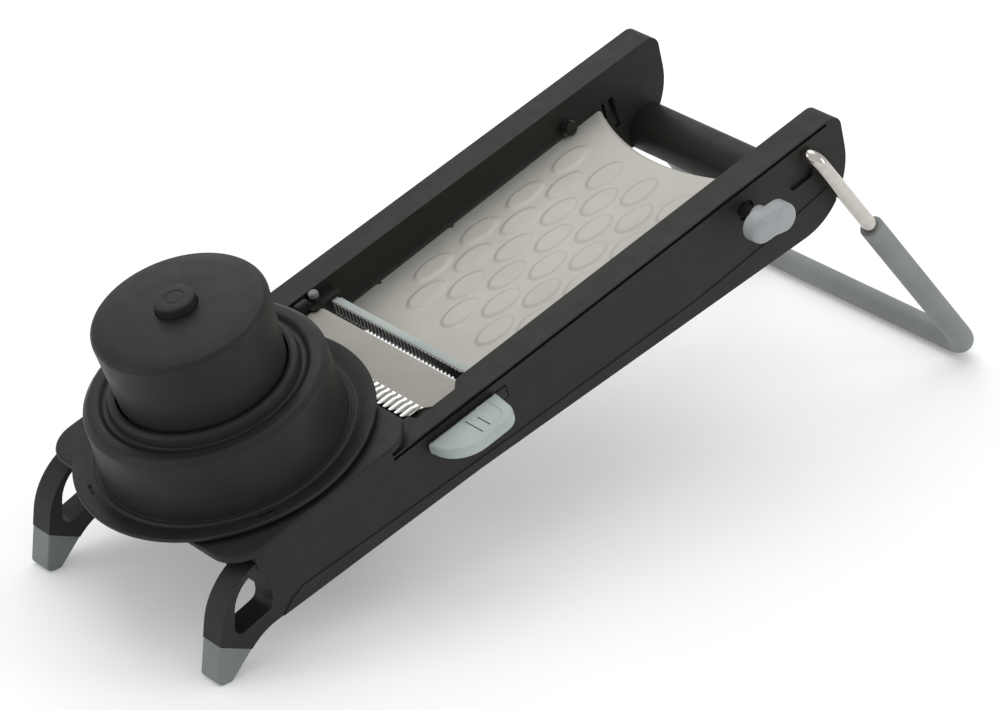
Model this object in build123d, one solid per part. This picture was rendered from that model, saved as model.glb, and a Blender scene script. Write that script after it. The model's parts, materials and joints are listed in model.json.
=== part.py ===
from build123d import *
from math import cos, degrees, hypot, pi, radians, sin, tan
import os

# Mandoline slicer with a folding wire stand, a reversible blade and a two-tier food pusher.
# Millimetres. Everything is modelled in the deck's own axes and tilted at the very end:
#   X (u) runs along the side rails, 0 at their high back end, negative towards the feet;
#   Y (v) runs across, + is the user's left-hand rail when standing at the back;
#   Z (w) is square to the rail tops, 0 on the rails' top face.

# ---------------------------------------------------------------- driving dimensions
TILT = 16.85                    # slope of the deck, degrees

RAIL_OUT = 72.0                 # outer face of a rail, from the middle plane
RAIL_IN = 56.3                  # inner face of a rail
RAIL_FRONT = -362.0             # where the rail's box section ends and the leg begins
RAIL_BACK = 3.2                 # the rail's end leans back to this at the top
RAIL_DEPTH_BACK = 53.6          # depth of the rail's outline at its back end
WALL = 2.6                      # moulded wall of the rails
LEG_IN = 59.0                   # inner face of a front leg
GROOVE_TOP = -0.9               # the groove that the carriage's hooks run in
GROOVE_LOW = -2.6
GROOVE_DEEP = 3.0
BAND_PROUD = 0.5                # raised lower band on the rail's outer face

TOE_U = -406.5                  # front corner of the foot's sole
TOE_W = -45.2
HEEL = (-376.0, -34.6)          # where the rail's underside turns down to the sole
SOLE = 8.0                      # length of the sole before its corners are rounded

PIVOT = (-22.0, -8.5)           # axis of the wire stand
STAND_V = 79.0                  # middle of the stand's legs, clear of the rails when folded
STAND_LEAN = (62.0, -155.0)     # direction of the opened legs
WIRE_R = 3.75
SLEEVE_R = 6.1
SLEEVE_START = 62.0             # sleeve begins this far down the leg
RUNNING = 0.05                  # radial clearance of a pin in its bore

HINGE = (-64.0, -13.5)          # axis of the feed plate and of the wing knob
SPINDLE_R = 3.5                 # knob spindle, and the peg opposite it
EAR_PIN_R = 2.2                 # their thinner ends, through the plate's ears
EAR_HEAD_R = 3.4                # heads that keep the ears on, clear of the sheet below
KNOB_V = 84.0                   # inner face of the wing knob
KNOB_THICK = 9.4
KNOB_REACH = 14.0               # half length of the wings
KNOB_LOBE = 7.6
KNOB_ANGLE = -10.0

PLATE_HALF = 54.5               # half width of the feed plate
PLATE_FRONT = (-215.5, -21.3)   # top of the plate's front lip
PLATE_REAR = (-42.6, -16.9)     # top of the plate's rear corners
PLATE_SAG = 14.0                # how far the rear edge curves in at the middle
SHEET = 1.0                     # feed plate's sheet

BLADE_REAR = -230.2             # straight edge of the blade
BLADE_FRONT = -251.5            # root of the wavy edge
BLADE_TIPS = -262.0
BLADE_MID = -2.3                # the blade sits off the middle, its right end in the rail's recess
BLADE_HALF = 52.0
BLADE_TOP = -6.3
BLADE_THICK = 0.8
CRINKLES = 24                   # waves of the blade's second edge

SEAT = BLADE_TOP - BLADE_THICK  # top of the crosspiece under the blade
CHEEK_IN = 50.0                 # the crosspiece's end cheeks, inner face and rear end
CHEEK_REAR = -216.4
BRIDGE_FRONT = BLADE_TIPS - 0.3
BRIDGE_LOW = -23.0

BAR_U = (-223.2, -219.2)        # julienne bar
BAR_W = (-13.5, -7.5)
BAR_END = 47.2
TINE_REACH = 2.0                # the comb stands this far in front of the bar
TINES = 35
TINE_PITCH = 2.7

CARRIAGE_U = -325.0             # middle of the pusher
BASE_FRONT = -379.0
BASE_REAR = -269.6              # rear edge of the sledge, behind the blade's waves
TAB_REAR = -248.8               # rear edge of its left-hand tab, over the lock side
TAB_V = 20.0                    # inner side of the tab
BASE_HALF = 73.8
BASE_CORNER = 17.0
BASE_LOW = 3.6
BASE_TOP = 6.4
CHUTE_R = 42.6
HOOD_CEILING = 38.2             # inside of the hood's shoulder
CAP_R = 39.2
BRIM_R = 71.5
CAP_TOP = 85.2
PIN_ROWS = 3

GAP = 0.4                       # free space between bodies that pass each other

SCREW_U = (-352.0, -274.0, -252.0)   # screws that tie the deck panels to the rails
SCREW_W = (-15.5, -15.5, -17.5)
SCREW_R = 1.5
SCREW_END = 5.0                 # blind end of a screw, from the rail's outer face
LOCK = (-229.6, 53.2)           # post of the blade lock


# ---------------------------------------------------------------- helpers
def face_uw(points, radii):
    """Closed outline in the (u, w) plane with rounded corners, as a face on Y = 0."""
    line = FilletPolyline(*points, radius=radii, close=True)
    return Plane.XZ * make_face(line)


def across(face, v_from, v_to):
    """Extrudes a (u, w) face from v_from to v_to."""
    start = face.moved(Location((0, min(v_from, v_to), 0)))
    return extrude(start, amount=abs(v_to - v_from), dir=(0, 1, 0))


def block(u, v, w):
    """Box between two corners, each given as a pair of limits."""
    size = (abs(u[1] - u[0]), abs(v[1] - v[0]), abs(w[1] - w[0]))
    centre = ((u[0] + u[1]) / 2, (v[0] + v[1]) / 2, (w[0] + w[1]) / 2)
    return Pos(*centre) * Box(*size)


def rod(axis_uw, radius, v_from, v_to):
    """Cylinder across the deck."""
    length = abs(v_to - v_from)
    centre = (axis_uw[0], (v_from + v_to) / 2, axis_uw[1])
    return Pos(*centre) * Rot(90, 0, 0) * Cylinder(radius, length)


def post(u, v, radius, w_from, w_to):
    """Cylinder square to the deck."""
    return Pos(u, v, (w_from + w_to) / 2) * Cylinder(radius, w_to - w_from)


def turned(profile):
    """Solid of revolution about the pusher's axis from (radius, w) points, listed anticlockwise."""
    face = make_face(Polyline(*reversed(profile), close=True))
    spun = revolve(Plane.XZ * face, axis=Axis.Z)
    return Pos(CARRIAGE_U, 0, 0) * spun


def mirrored(shape):
    return mirror(shape, about=Plane.XZ)


# ---------------------------------------------------------------- side rails and feet
def sole_rear():
    """Rear corner of the sole: on the floor plane, SOLE behind the front corner."""
    return (TOE_U + SOLE, TOE_W - SOLE * tan(radians(TILT)))


def rail_outline():
    points = [
        (RAIL_BACK, 0),
        (0, -RAIL_DEPTH_BACK),
        (-245, -38.5),
        HEEL,
        sole_rear(),
        (TOE_U, TOE_W),
        (-386, 0),
    ]
    return face_uw(points, [7, 34, 200, 30, 3, 3, 33.5])


def leg_hole():
    points = [(-362.5, -3.5), (-366.6, -26.8), (-390.5, -28.8), (-381.5, -3.5)]
    return face_uw(points, [3, 5, 4, 18])


SEAM_FRONT = (-397.7, -27.4)    # where the foot's cap meets the leg
SEAM_REAR = (-384.5, -38.9)
PEG_R = 2.6


def below_seam():
    """Region of the outline that belongs to the soft foot."""
    step = (SEAM_REAR[0] - SEAM_FRONT[0], SEAM_REAR[1] - SEAM_FRONT[1])
    a = (SEAM_FRONT[0] - step[0], SEAM_FRONT[1] - step[1])
    b = (SEAM_REAR[0] + step[0], SEAM_REAR[1] + step[1])
    drop = (-60, -60)
    points = [a, b, (b[0] + drop[0], b[1] + drop[1]), (a[0] + drop[0], a[1] + drop[1])]
    return Plane.XZ * make_face(Polyline(*points, close=True))


def foot_peg(radius):
    """Peg of the leg inside the foot."""
    middle = ((SEAM_FRONT[0] + SEAM_REAR[0]) / 2, (SEAM_FRONT[1] + SEAM_REAR[1]) / 2)
    along = (TOE_U + SOLE / 2 - middle[0], TOE_W - middle[1])
    v = -(RAIL_OUT + LEG_IN) / 2
    base = Plane(origin=(middle[0], v, middle[1]), z_dir=(along[0], 0, along[1]))
    return extrude(base * Circle(radius), amount=7, both=True)


def band_outline():
    """Raised band along the rail's lower edge."""
    upper = [(-357, -30), (-350, -27.6), (-220, -34.9), (-105, -39.4), (-58, -38.2), (-14, -34)]
    points = [(-366, -36.5), *upper, (-2, -70), (-366, -70)]
    region = face_uw(points, [0, 4, 6, 60, 40, 60, 0, 0, 0])
    return region & rail_outline()


def rail_bays():
    """Pockets under the rail, between its ribs."""
    pitch, rib, first, last = 37.6, 2.4, -350.0, -12.0
    side = (-RAIL_OUT + WALL + 0.4, -RAIL_IN - WALL)
    bays = []
    start = first
    while start < last - 10:
        bays.append(block((start, min(start + pitch - rib, last)), side, (-70, -7)))
        start += pitch
    return bays


COUNTERBORE_R = 5.2             # round the knob's spindle, in the rail's outer face
PEG_DEEP = 8.0                  # the far hinge peg's depth in the left rail


def stand_pocket():
    """Shallow recess below the stand's pivot."""
    outline = face_uw([(-36, -14), (-36, -22.5), (-20, -22.5), (-20, -17)], [2, 3, 2.5, 2])
    return across(outline, -RAIL_OUT - 1, -RAIL_OUT + 1.8)


def inner_slots():
    """Two upright slots through the rail's inner wall, behind the feed plate."""
    low_top = -16.5
    long_slot = block((-35.8, -32.2), (-RAIL_IN - WALL - 1, -RAIL_IN + 1), (-34.5, low_top))
    short_slot = block((-40.4, -38.6), (-RAIL_IN - WALL - 1, -RAIL_IN + 1), (-26.0, low_top))
    return long_slot + short_slot


RECESS_LOW = -4.8               # floor of the recess beside the blade


def blade_recess():
    """Recess in the right rail's inner top edge, beside the blade's end."""
    front, rear, out = BLADE_TIPS - 0.8, BLADE_REAR - 3.5, -RAIL_IN - 5.2
    points = [(rear, -RAIL_IN + 1), (rear, -RAIL_IN), (rear - 5.2, out), (front, out), (front, -RAIL_IN + 1)]
    plan = make_face(FilletPolyline(*points, radius=[0, 0.5, 2, 2, 0], close=True))
    return extrude(Pos(0, 0, RECESS_LOW) * plan, amount=1 - RECESS_LOW)


def rail(cartridge_slot):
    """Right-hand rail with its front leg; the left one is its mirror image."""
    body = across(rail_outline(), -RAIL_OUT, -RAIL_IN)
    body -= block((-420, RAIL_FRONT), (-LEG_IN, -RAIL_IN + 1), (-80, 5))
    body -= rail_bays()
    bosses = rod(PIVOT, 8.8, -RAIL_OUT + 1, -RAIL_IN - 1)
    bosses += rod(HINGE, 7.0, -RAIL_OUT + 1, -RAIL_IN - 1)
    for u, w in zip(SCREW_U, SCREW_W):
        bosses += rod((u, w), 4.0, -RAIL_OUT + 1, -RAIL_IN - 1)
    body += bosses & across(rail_outline(), -RAIL_OUT, -RAIL_IN)
    body += across(band_outline(), -RAIL_OUT - BAND_PROUD, -RAIL_OUT)
    body -= across(leg_hole(), -RAIL_OUT - 1, -RAIL_IN)
    body -= block((-368, -6), (-RAIL_OUT - 1, -RAIL_OUT + GROOVE_DEEP), (GROOVE_LOW, GROOVE_TOP))
    body -= across(below_seam(), -RAIL_OUT - 2, -RAIL_IN + 1)
    body += foot_peg(PEG_R)
    body -= rod(PIVOT, WIRE_R + RUNNING, -RAIL_OUT - 1, -RAIL_IN - WALL)
    body -= stand_pocket()
    for u, w in zip(SCREW_U, SCREW_W):
        body -= rod((u, w), SCREW_R, -RAIL_OUT + SCREW_END, -RAIL_IN + 1)
    body += grip_boss()
    body -= inner_slots()
    if cartridge_slot:
        free = GAP + 0.2
        slot_u = (BAR_U[0] - TINE_REACH - free, BAR_U[1] + free)
        slot_w = (BAR_W[0] - free, BAR_W[1] + free)
        body -= block(slot_u, (-RAIL_OUT - 1, -RAIL_IN + 1), slot_w)
        mouth_v = (-RAIL_OUT - 1, HANDLE_NEAR + SHOE_DEEP + free)
        body -= block((SHOE_FRONT - free, slot_u[1]), mouth_v, slot_w)
        body -= rod(HINGE, SPINDLE_R + RUNNING, -RAIL_OUT - 1, -RAIL_IN + 1)
        body -= rod(HINGE, COUNTERBORE_R, -RAIL_OUT - 1, -RAIL_OUT + 1.6)
        body -= blade_recess()
    else:
        body -= rod(HINGE, SPINDLE_R, -RAIL_IN - PEG_DEEP, -RAIL_IN + 1)
    return body


def foot():
    """Soft cap over the end of the front leg."""
    cap = across(rail_outline() & below_seam(), -RAIL_OUT, -LEG_IN)
    side_edges = cap.edges() - cap.edges().filter_by(Axis.Y)
    below_heel = side_edges.filter_by(lambda edge: edge.center().Z < SEAM_REAR[1] - 2)
    return fillet(below_heel, 0.8) - foot_peg(PEG_R)


# ---------------------------------------------------------------- parts that tie the rails
GRIP_AXIS = (-16.0, -47.0)      # rear grip bar
GRIP_R = 13.0
GRIP_WALL = 2.5


def bar_section(inset):
    """Half-moon section: a circle cut by the rails' own outline."""
    circle = Plane.XZ * (Pos(*GRIP_AXIS) * Circle(GRIP_R - inset))
    return circle & offset(rail_outline(), amount=-inset - 0.4)


def rear_bar():
    shell = across(bar_section(0), -RAIL_IN, RAIL_IN)
    return shell - across(bar_section(GRIP_WALL), -RAIL_IN - 1, RAIL_IN + 1)


def grip_boss():
    """Boss on the rail that the hollow rear bar slides over."""
    return across(bar_section(GRIP_WALL), -RAIL_IN - 1, -RAIL_IN + 8)


FLANGE = 2.3                    # exit plate's side flanges
SCREW_SEAT = 3.0                # wall under a screw's head in the crosspiece's cheek


def exit_plate():
    """Run-out panel below the blade, with side flanges, ribs and a rolled front apron."""
    u_front, u_rear, top = -361.0, BLADE_TIPS - 0.6, SEAT - 1.4
    sheet, apron_deep, flange_deep, rib_deep, rib_v = 2.4, 20.0, 14.0, 8.0, 22.0
    panel = block((u_front, u_rear), (-RAIL_IN, RAIL_IN), (top - sheet, top))
    apron = block((u_front, u_front + sheet), (-RAIL_IN, RAIL_IN), (top - apron_deep, top))
    front_edge = (panel + apron).edges().filter_by(Axis.Y).group_by(Axis.Z)[-1].sort_by(Axis.X)[0]
    panel = fillet(front_edge, 2.2)
    for side in (-1, 1):
        flange_v = (side * (RAIL_IN - FLANGE), side * RAIL_IN)
        panel += block((u_front, u_rear), flange_v, (top - flange_deep, top))
        panel += block((u_front, u_rear), (side * rib_v - 1, side * rib_v + 1), (top - rib_deep, top))
        for u, w in zip(SCREW_U[:2], SCREW_W):
            panel -= rod((u, w), SCREW_R, side * (RAIL_IN - 6), side * (RAIL_IN + 1))
    return panel


TONGUE = 6.4                    # the julienne bar's tongue in the far cheek
TONGUE_W = (BAR_W[0] + 1.6, BAR_W[1] - 1.0)
POST_R = 1.5                    # lock post's root in the crosspiece
POST_LOW = -17.5


def blade_bridge():
    """Crosspiece that carries the blade, with a cheek at each end."""
    corners = [(BRIDGE_FRONT, SEAT), (-232.5, SEAT), (-238, -12), (-247, BRIDGE_LOW)]
    corners.append((BRIDGE_FRONT, BRIDGE_LOW))
    bridge = across(face_uw(corners, [0, 0.3, 4, 2, 0]), -CHEEK_IN - 0.3, CHEEK_IN + 0.3)
    screw = (SCREW_U[2], SCREW_W[2])
    for side in (-1, 1):
        cheek_v = (side * CHEEK_IN, side * RAIL_IN)
        bridge += block((BRIDGE_FRONT, CHEEK_REAR), cheek_v, (BRIDGE_LOW, BLADE_TOP))
        bridge -= rod(screw, SCREW_R, side * (RAIL_IN - 5), side * (RAIL_IN + 1))
        bridge -= rod(screw, 3.2, side * (CHEEK_IN - 12), side * (RAIL_IN - SCREW_SEAT))
    reach = (BAR_U[0] - TINE_REACH - GAP, BAR_U[1] + GAP)
    notch = block(reach, (-RAIL_IN - 1, -CHEEK_IN + 1), (BAR_W[0] - GAP, 0))
    socket_u = (BAR_U[0] - GAP, BAR_U[1] + GAP)
    socket_w = (TONGUE_W[0] - GAP, TONGUE_W[1] + GAP)
    socket = block(socket_u, (CHEEK_IN - 1, BAR_END + TONGUE + GAP), socket_w)
    blade_end = BLADE_MID - BLADE_HALF - GAP
    ledge = block((BRIDGE_FRONT - 1, BLADE_REAR + GAP), (blade_end, -CHEEK_IN + 1), (SEAT, 0))
    return bridge - notch - socket - ledge - post(*LOCK, POST_R, POST_LOW - 0.5, BLADE_TOP + 1)


def deck_screws():
    """Pan-head screws that hold the deck panels to the rails."""
    screws = []
    for side in (-1, 1):
        for index, (u, w) in enumerate(zip(SCREW_U, SCREW_W)):
            inner = RAIL_IN - (FLANGE if index < 2 else SCREW_SEAT)
            shank = rod((u, w), SCREW_R, side * inner, side * (RAIL_OUT - SCREW_END))
            head = rod((u, w), 2.9, side * (inner - 2.0), side * inner)
            drive = block((u - 0.4, u + 0.4), (side * (inner - 2.2), side * (inner - 1.2)), (w - 2, w + 2))
            drive += block((u - 2, u + 2), (side * (inner - 2.2), side * (inner - 1.2)), (w - 0.4, w + 0.4))
            screws.append(shank + head - drive)
    return Compound(screws)


# ---------------------------------------------------------------- blade and its lock
def blade_sheet(points):
    """Piece of the blade's sheet with the given outline, seated on the crosspiece."""
    return extrude(Pos(0, BLADE_MID, SEAT) * make_face(Polyline(*points, close=True)), amount=BLADE_THICK)


def blade():
    """Reversible blade: a straight edge behind, a wavy edge in front."""
    corner = 3.0
    outline = [
        (BLADE_REAR, BLADE_HALF - corner), (BLADE_REAR, -BLADE_HALF + corner),
        (BLADE_REAR - corner, -BLADE_HALF), (BLADE_FRONT + 3, -BLADE_HALF),
        (BLADE_FRONT, -BLADE_HALF + corner), (BLADE_FRONT, BLADE_HALF - corner),
        (BLADE_FRONT + 3, BLADE_HALF), (BLADE_REAR - corner, BLADE_HALF),
    ]
    span = 2 * (BLADE_HALF - corner)
    pitch = span / CRINKLES
    teeth = []
    for index in range(CRINKLES):
        v = -span / 2 + (index + 0.5) * pitch
        low, high, notch = v - pitch / 2, v + pitch / 2, BLADE_TIPS + 1.2
        edge = [(BLADE_FRONT, low), (notch, low), (BLADE_TIPS, v), (notch, high), (BLADE_FRONT, high)]
        teeth.append(blade_sheet(edge))
    bevel = [(BLADE_REAR + 0.1, SEAT - 0.1), (BLADE_REAR + 0.1, BLADE_TOP - 0.15)]
    bevel.append((BLADE_REAR - 2.2, SEAT - 0.1))
    edge_cut = across(face_uw(bevel, [0, 0, 0]), -BLADE_HALF - 5, BLADE_HALF + 5)
    return blade_sheet(outline) + teeth - edge_cut


NECK_R = 1.7                    # the part of the post that the lever turns on
HEAD_R = 2.6                    # the post's domed head
HEAD_LOW = -1.9
HEAD_TOP = 0.6
LEVER = (-12.4, -4.0)           # the lever's grip, measured along u from its post


def lock_post():
    """Headed pin that the lock lever turns on."""
    u, v = LOCK
    pin = post(u, v, POST_R, POST_LOW, BLADE_TOP)
    neck = post(u, v, NECK_R, BLADE_TOP, HEAD_LOW)
    head = post(u, v, HEAD_R, HEAD_LOW, HEAD_TOP)
    head = fillet(head.edges().group_by(Axis.Z)[-1], 1.2)
    return pin + neck + head


def lock_lever():
    """Cam lever: its toe lies over the blade's corner."""
    u, v = LOCK
    low, high = BLADE_TOP + 0.3, HEAD_LOW - 0.3
    hub = post(u, v, HEAD_R, low, high)
    arm = block((u + LEVER[0] + 2, u), (v - 1.8, v + 1.8), (low, low + 2.2))
    grip = block((u + LEVER[0], u + LEVER[1]), (v - 2.1, v + 2.1), (low, -0.4))
    grip = fillet(grip.edges().filter_by(Axis.Z), 2.0)
    grip = fillet(grip.edges().group_by(Axis.Z)[-1], 1.5)
    toe = Pos(u - 3.5, v - 3.2, low + 0.6) * Cylinder(2.6, 1.2)
    lever = hub + arm + grip + toe
    return lever - post(u, v, NECK_R + RUNNING, low - 1, high + 1)


# ---------------------------------------------------------------- feed plate
def plate_slope(u):
    """Height of the plate's top face."""
    (u0, w0), (u1, w1) = PLATE_FRONT, PLATE_REAR
    return w0 + (w1 - w0) * (u - u0) / (u1 - u0)


def plate_plan(extra):
    """Plan outline of the plate; its rear edge is an arc that curves in by PLATE_SAG."""
    front, rear = PLATE_FRONT[0], PLATE_REAR[0] - extra
    side = Polyline((rear, -PLATE_HALF), (front, -PLATE_HALF), (front, PLATE_HALF), (rear, PLATE_HALF))
    arc = ThreePointArc((rear, PLATE_HALF), (rear - PLATE_SAG, 0), (rear, -PLATE_HALF))
    return make_face([side, arc])


EAR = 1.2                       # thickness of the plate's upturned ears


def feed_plate():
    """Pressed sheet with a rolled rear lip and two upturned hinge ears."""
    slab = extrude(Pos(0, 0, -40) * plate_plan(0), amount=40)
    line = [(u, plate_slope(u)) for u in (PLATE_FRONT[0] - 5, PLATE_REAR[0] + 5)]
    skin = [*line, (line[1][0], line[1][1] - SHEET), (line[0][0], line[0][1] - SHEET)]
    plate = slab & across(face_uw(skin, [0, 0, 0, 0]), -PLATE_HALF - 1, PLATE_HALF + 1)
    lip = extrude(Pos(0, 0, -24.5) * (plate_plan(0) - plate_plan(1.1)), amount=24.5 + PLATE_REAR[1] - 0.4)
    lip &= block((-80, -30), (-PLATE_HALF + 3, PLATE_HALF - 3), (-30, 0))
    plate += lip
    for side in (-1, 1):
        for u in (-193.0, -145.0):
            plate -= block((u - 1.2, u + 1.2), (side * (PLATE_HALF - 1.3), side * (PLATE_HALF + 1)), (-40, 0))
        ear = face_uw([(-68.5, -18.5), (-59.5, -18.3), (-60.2, -9.7), (-67.8, -9.7)], [0, 0, 3.6, 3.6])
        plate += across(ear, side * (PLATE_HALF - EAR), side * PLATE_HALF)
        plate -= rod(HINGE, EAR_PIN_R + RUNNING, side * (PLATE_HALF - 3), side * (PLATE_HALF + 1))
    return plate


def hinge_peg():
    """Fixed peg in the left rail that the plate's far ear turns on."""
    shank = rod(HINGE, SPINDLE_R, PLATE_HALF + GAP, RAIL_IN + PEG_DEEP)
    head_from = PLATE_HALF - EAR - GAP
    pin = rod(HINGE, EAR_PIN_R, head_from, PLATE_HALF + GAP)
    head = rod(HINGE, EAR_HEAD_R, head_from - 1.6, head_from)
    return shank + pin + head


# ---------------------------------------------------------------- wing knob
SOCKET = 5.0                    # depth of the spindle in the knob


def wing_knob():
    """Waisted oval knob on the end of the clamping spindle."""
    lobe = KNOB_REACH - KNOB_LOBE
    oval = make_hull((Pos(-lobe, 0) * Circle(KNOB_LOBE)).edges() + (Pos(lobe, 0) * Circle(KNOB_LOBE)).edges())
    waist_r, waist = 13.0, 1.0
    for side in (-1, 1):
        oval -= Pos(0, side * (KNOB_LOBE + waist_r - waist)) * Circle(waist_r)
    oval = fillet(oval.vertices(), 4)
    grip = extrude(Plane.XZ.offset(KNOB_V) * (Rot(0, 0, KNOB_ANGLE) * oval), amount=KNOB_THICK)
    grip = fillet(grip.edges().filter_by(lambda e: abs(e.center().Y + KNOB_V + KNOB_THICK) < 0.1), 2.4)
    grip = fillet(grip.edges().filter_by(lambda e: abs(e.center().Y + KNOB_V) < 0.1), 1.2)
    grip = Pos(HINGE[0], 0, HINGE[1]) * grip
    collar = rod(HINGE, 5.4, -KNOB_V, -KNOB_V + 5)
    return grip + collar - rod(HINGE, SPINDLE_R, -KNOB_V - SOCKET, -KNOB_V + 6)


def knob_spindle():
    """Rod from the knob through the rail, turned down where it carries the plate's ear."""
    shoulder = -PLATE_HALF - GAP
    thick = rod(HINGE, SPINDLE_R, -KNOB_V - SOCKET, shoulder)
    return thick + rod(HINGE, EAR_PIN_R, shoulder, shoulder + 6.5)


def spindle_collar():
    """Collar pressed on the spindle's inner end."""
    face = -PLATE_HALF + EAR + GAP
    return rod(HINGE, EAR_HEAD_R, face, face + 3.4) - rod(HINGE, EAR_PIN_R, face - 1, face + 5)


# ---------------------------------------------------------------- folding stand
def stand_foot():
    """Middle of the stand's bottom bar, placed so that its sleeve rests on the floor."""
    floor = TOE_U * sin(radians(TILT)) + TOE_W * cos(radians(TILT))
    lean_u, lean_w = STAND_LEAN
    drop = lean_u * sin(radians(TILT)) + lean_w * cos(radians(TILT))
    start = PIVOT[0] * sin(radians(TILT)) + PIVOT[1] * cos(radians(TILT))
    share = (floor + SLEEVE_R - start) / drop
    return (PIVOT[0] + share * lean_u, PIVOT[1] + share * lean_w)


def stand_wire():
    """One bent wire: two pivot ends, two legs and a bottom bar."""
    u, w = stand_foot()
    inner = RAIL_IN + WALL + GAP
    points = [
        (PIVOT[0], -inner, PIVOT[1]), (PIVOT[0], -STAND_V, PIVOT[1]), (u, -STAND_V, w),
        (u, STAND_V, w), (PIVOT[0], STAND_V, PIVOT[1]), (PIVOT[0], inner, PIVOT[1]),
    ]
    path = FilletPolyline(*points, radius=[4.6, 12, 12, 4.6])
    section = Plane(origin=points[0], z_dir=(0, -1, 0)) * Circle(WIRE_R)
    return sweep(section, path=path)


def stand_sleeve():
    """Soft sleeve over the lower legs and the bottom bar."""
    u, w = stand_foot()
    reach = hypot(u - PIVOT[0], w - PIVOT[1])
    share = SLEEVE_START / reach
    top = (PIVOT[0] + share * (u - PIVOT[0]), PIVOT[1] + share * (w - PIVOT[1]))
    points = [(top[0], -STAND_V, top[1]), (u, -STAND_V, w), (u, STAND_V, w), (top[0], STAND_V, top[1])]
    path = FilletPolyline(*points, radius=[12, 12])
    down = (u - PIVOT[0], 0, w - PIVOT[1])
    ring = Plane(origin=points[0], z_dir=down) * (Circle(SLEEVE_R) - Circle(WIRE_R))
    return sweep(ring, path=path)


# ---------------------------------------------------------------- julienne cartridge
HANDLE_NEAR = -RAIL_OUT - GAP   # inner face of the pull
SHOE_FRONT = -231.0             # the pull's foot, which fills the mouth of the rail's slot
SHOE_DEEP = 6.0


def julienne_bar():
    """Square bar across the throat; a tongue on its end locates in the far cheek."""
    bar = block(BAR_U, (HANDLE_NEAR, BAR_END), BAR_W)
    return bar + block((BAR_U[0] + 0.2, BAR_U[1] - 0.2), (BAR_END, BAR_END + TONGUE), TONGUE_W)


def julienne_comb():
    """Steel comb along the bar's front side."""
    u0, u1 = BAR_U[0] - TINE_REACH, BAR_U[0]
    half = (TINES - 1) * TINE_PITCH / 2
    comb = block((u1 - 0.7, u1), (-half - 0.8, half + 0.8), (BAR_W[0] + 0.4, BAR_W[1] - 0.3))
    tines = []
    for index in range(TINES):
        v = -half + index * TINE_PITCH
        tines.append(block((u0, u1 - 0.6), (v - 0.45, v + 0.45), (BAR_W[0] + 0.4, BAR_W[1] + 0.2)))
    return comb + tines


def julienne_handle():
    """D-shaped pull outside the right rail."""
    top, low = -6.0, -11.6
    near, far = HANDLE_NEAR, -92.8
    points = [(-267.6, near), (-265.8, far), (-228.6, far), (-225.4, near)]
    plan = make_face(FilletPolyline(*points, radius=[1.2, 17, 10, 1.0], close=True))
    grip = extrude(Pos(0, 0, low) * plan, amount=top - low)
    grip = fillet(grip.edges().group_by(Axis.Z)[-1], 1.2)
    grip = fillet(grip.edges().group_by(Axis.Z)[0], 1.2)
    shoe = block((SHOE_FRONT, BAR_U[1]), (near, near + SHOE_DEEP), BAR_W)
    return grip + shoe - julienne_bar()


# ---------------------------------------------------------------- carriage
def base_prism(w0, w1):
    """Plan of the sledge: rounded corners, a cut corner behind on the right, a tab on the left."""
    cut = 11.0
    step = BASE_REAR - TAB_REAR
    points = [
        (BASE_FRONT, -BASE_HALF), (BASE_REAR - cut, -BASE_HALF), (BASE_REAR, -BASE_HALF + cut),
        (BASE_REAR, TAB_V + step), (TAB_REAR, TAB_V), (TAB_REAR, BASE_HALF), (BASE_FRONT, BASE_HALF),
    ]
    radii = [BASE_CORNER, 14, 4, 14, 14, BASE_CORNER, BASE_CORNER]
    plan = make_face(FilletPolyline(*points, radius=radii, close=True))
    return extrude(Pos(0, 0, w0) * plan, amount=w1 - w0)


def carriage_base():
    """Flat sledge plate with the hole for the food chute."""
    base = base_prism(BASE_LOW, BASE_TOP)
    base = fillet(base.edges().group_by(Axis.Z)[-1], 1.4)
    base -= post(CARRIAGE_U, 0, CHUTE_R, BASE_LOW - 1, BASE_TOP + 1)
    for u, v in hood_bolts():
        base -= post(u, v, 1.5, BASE_LOW - 1, BASE_TOP + 1)
    return base


SKIRT_LOW = -4.2                # lower edge of the runner's skirt


def runner():
    """Right-hand runner: pad, skirt and the hook in the rail's groove."""
    pad = block((-400, -200), (-BASE_HALF, -RAIL_IN - 0.8), (GAP, BASE_LOW))
    skirt = block((-400, -200), (-BASE_HALF, -RAIL_OUT - GAP), (SKIRT_LOW, BASE_LOW))
    hook_v = (-BASE_HALF, -RAIL_OUT + GROOVE_DEEP - GAP)
    hook = block((-400, -200), hook_v, (GROOVE_LOW + GAP, GROOVE_TOP - GAP))
    shape = (pad + skirt + hook) & base_prism(-10, BASE_LOW)
    trimmed = block((-368, BASE_REAR - BASE_CORNER), (-90, -50), (-10, 10))
    return shape & trimmed


def hood_bolts():
    """Places of the screws from the base up into the brim."""
    return [(CARRIAGE_U + 64.5 * cos(a), 64.5 * sin(a)) for a in (pi / 4, 3 * pi / 4, 5 * pi / 4, 7 * pi / 4)]


def hood_screws():
    screws = []
    for u, v in hood_bolts():
        shank = post(u, v, 1.5, BASE_LOW, BASE_TOP + 1.6)
        head = post(u, v, 2.8, BASE_LOW - 1.5, BASE_LOW)
        drive = block((u - 0.4, u + 0.4), (v - 2, v + 2), (BASE_LOW - 1.6, BASE_LOW - 0.8))
        screws.append(shank + head - drive)
    return Compound(screws)


def food_chute():
    """Tube that guides the pusher down to the blade."""
    inner = CHUTE_R - 2.2
    top, flange_r, flange = HOOD_CEILING - 1.0, 50.0, BASE_TOP + 1.5
    return turned([(inner, -4), (CHUTE_R, -4), (CHUTE_R, BASE_TOP), (flange_r, BASE_TOP), (flange_r, flange),
                   (CHUTE_R, flange), (CHUTE_R, top), (inner, top)])


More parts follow.
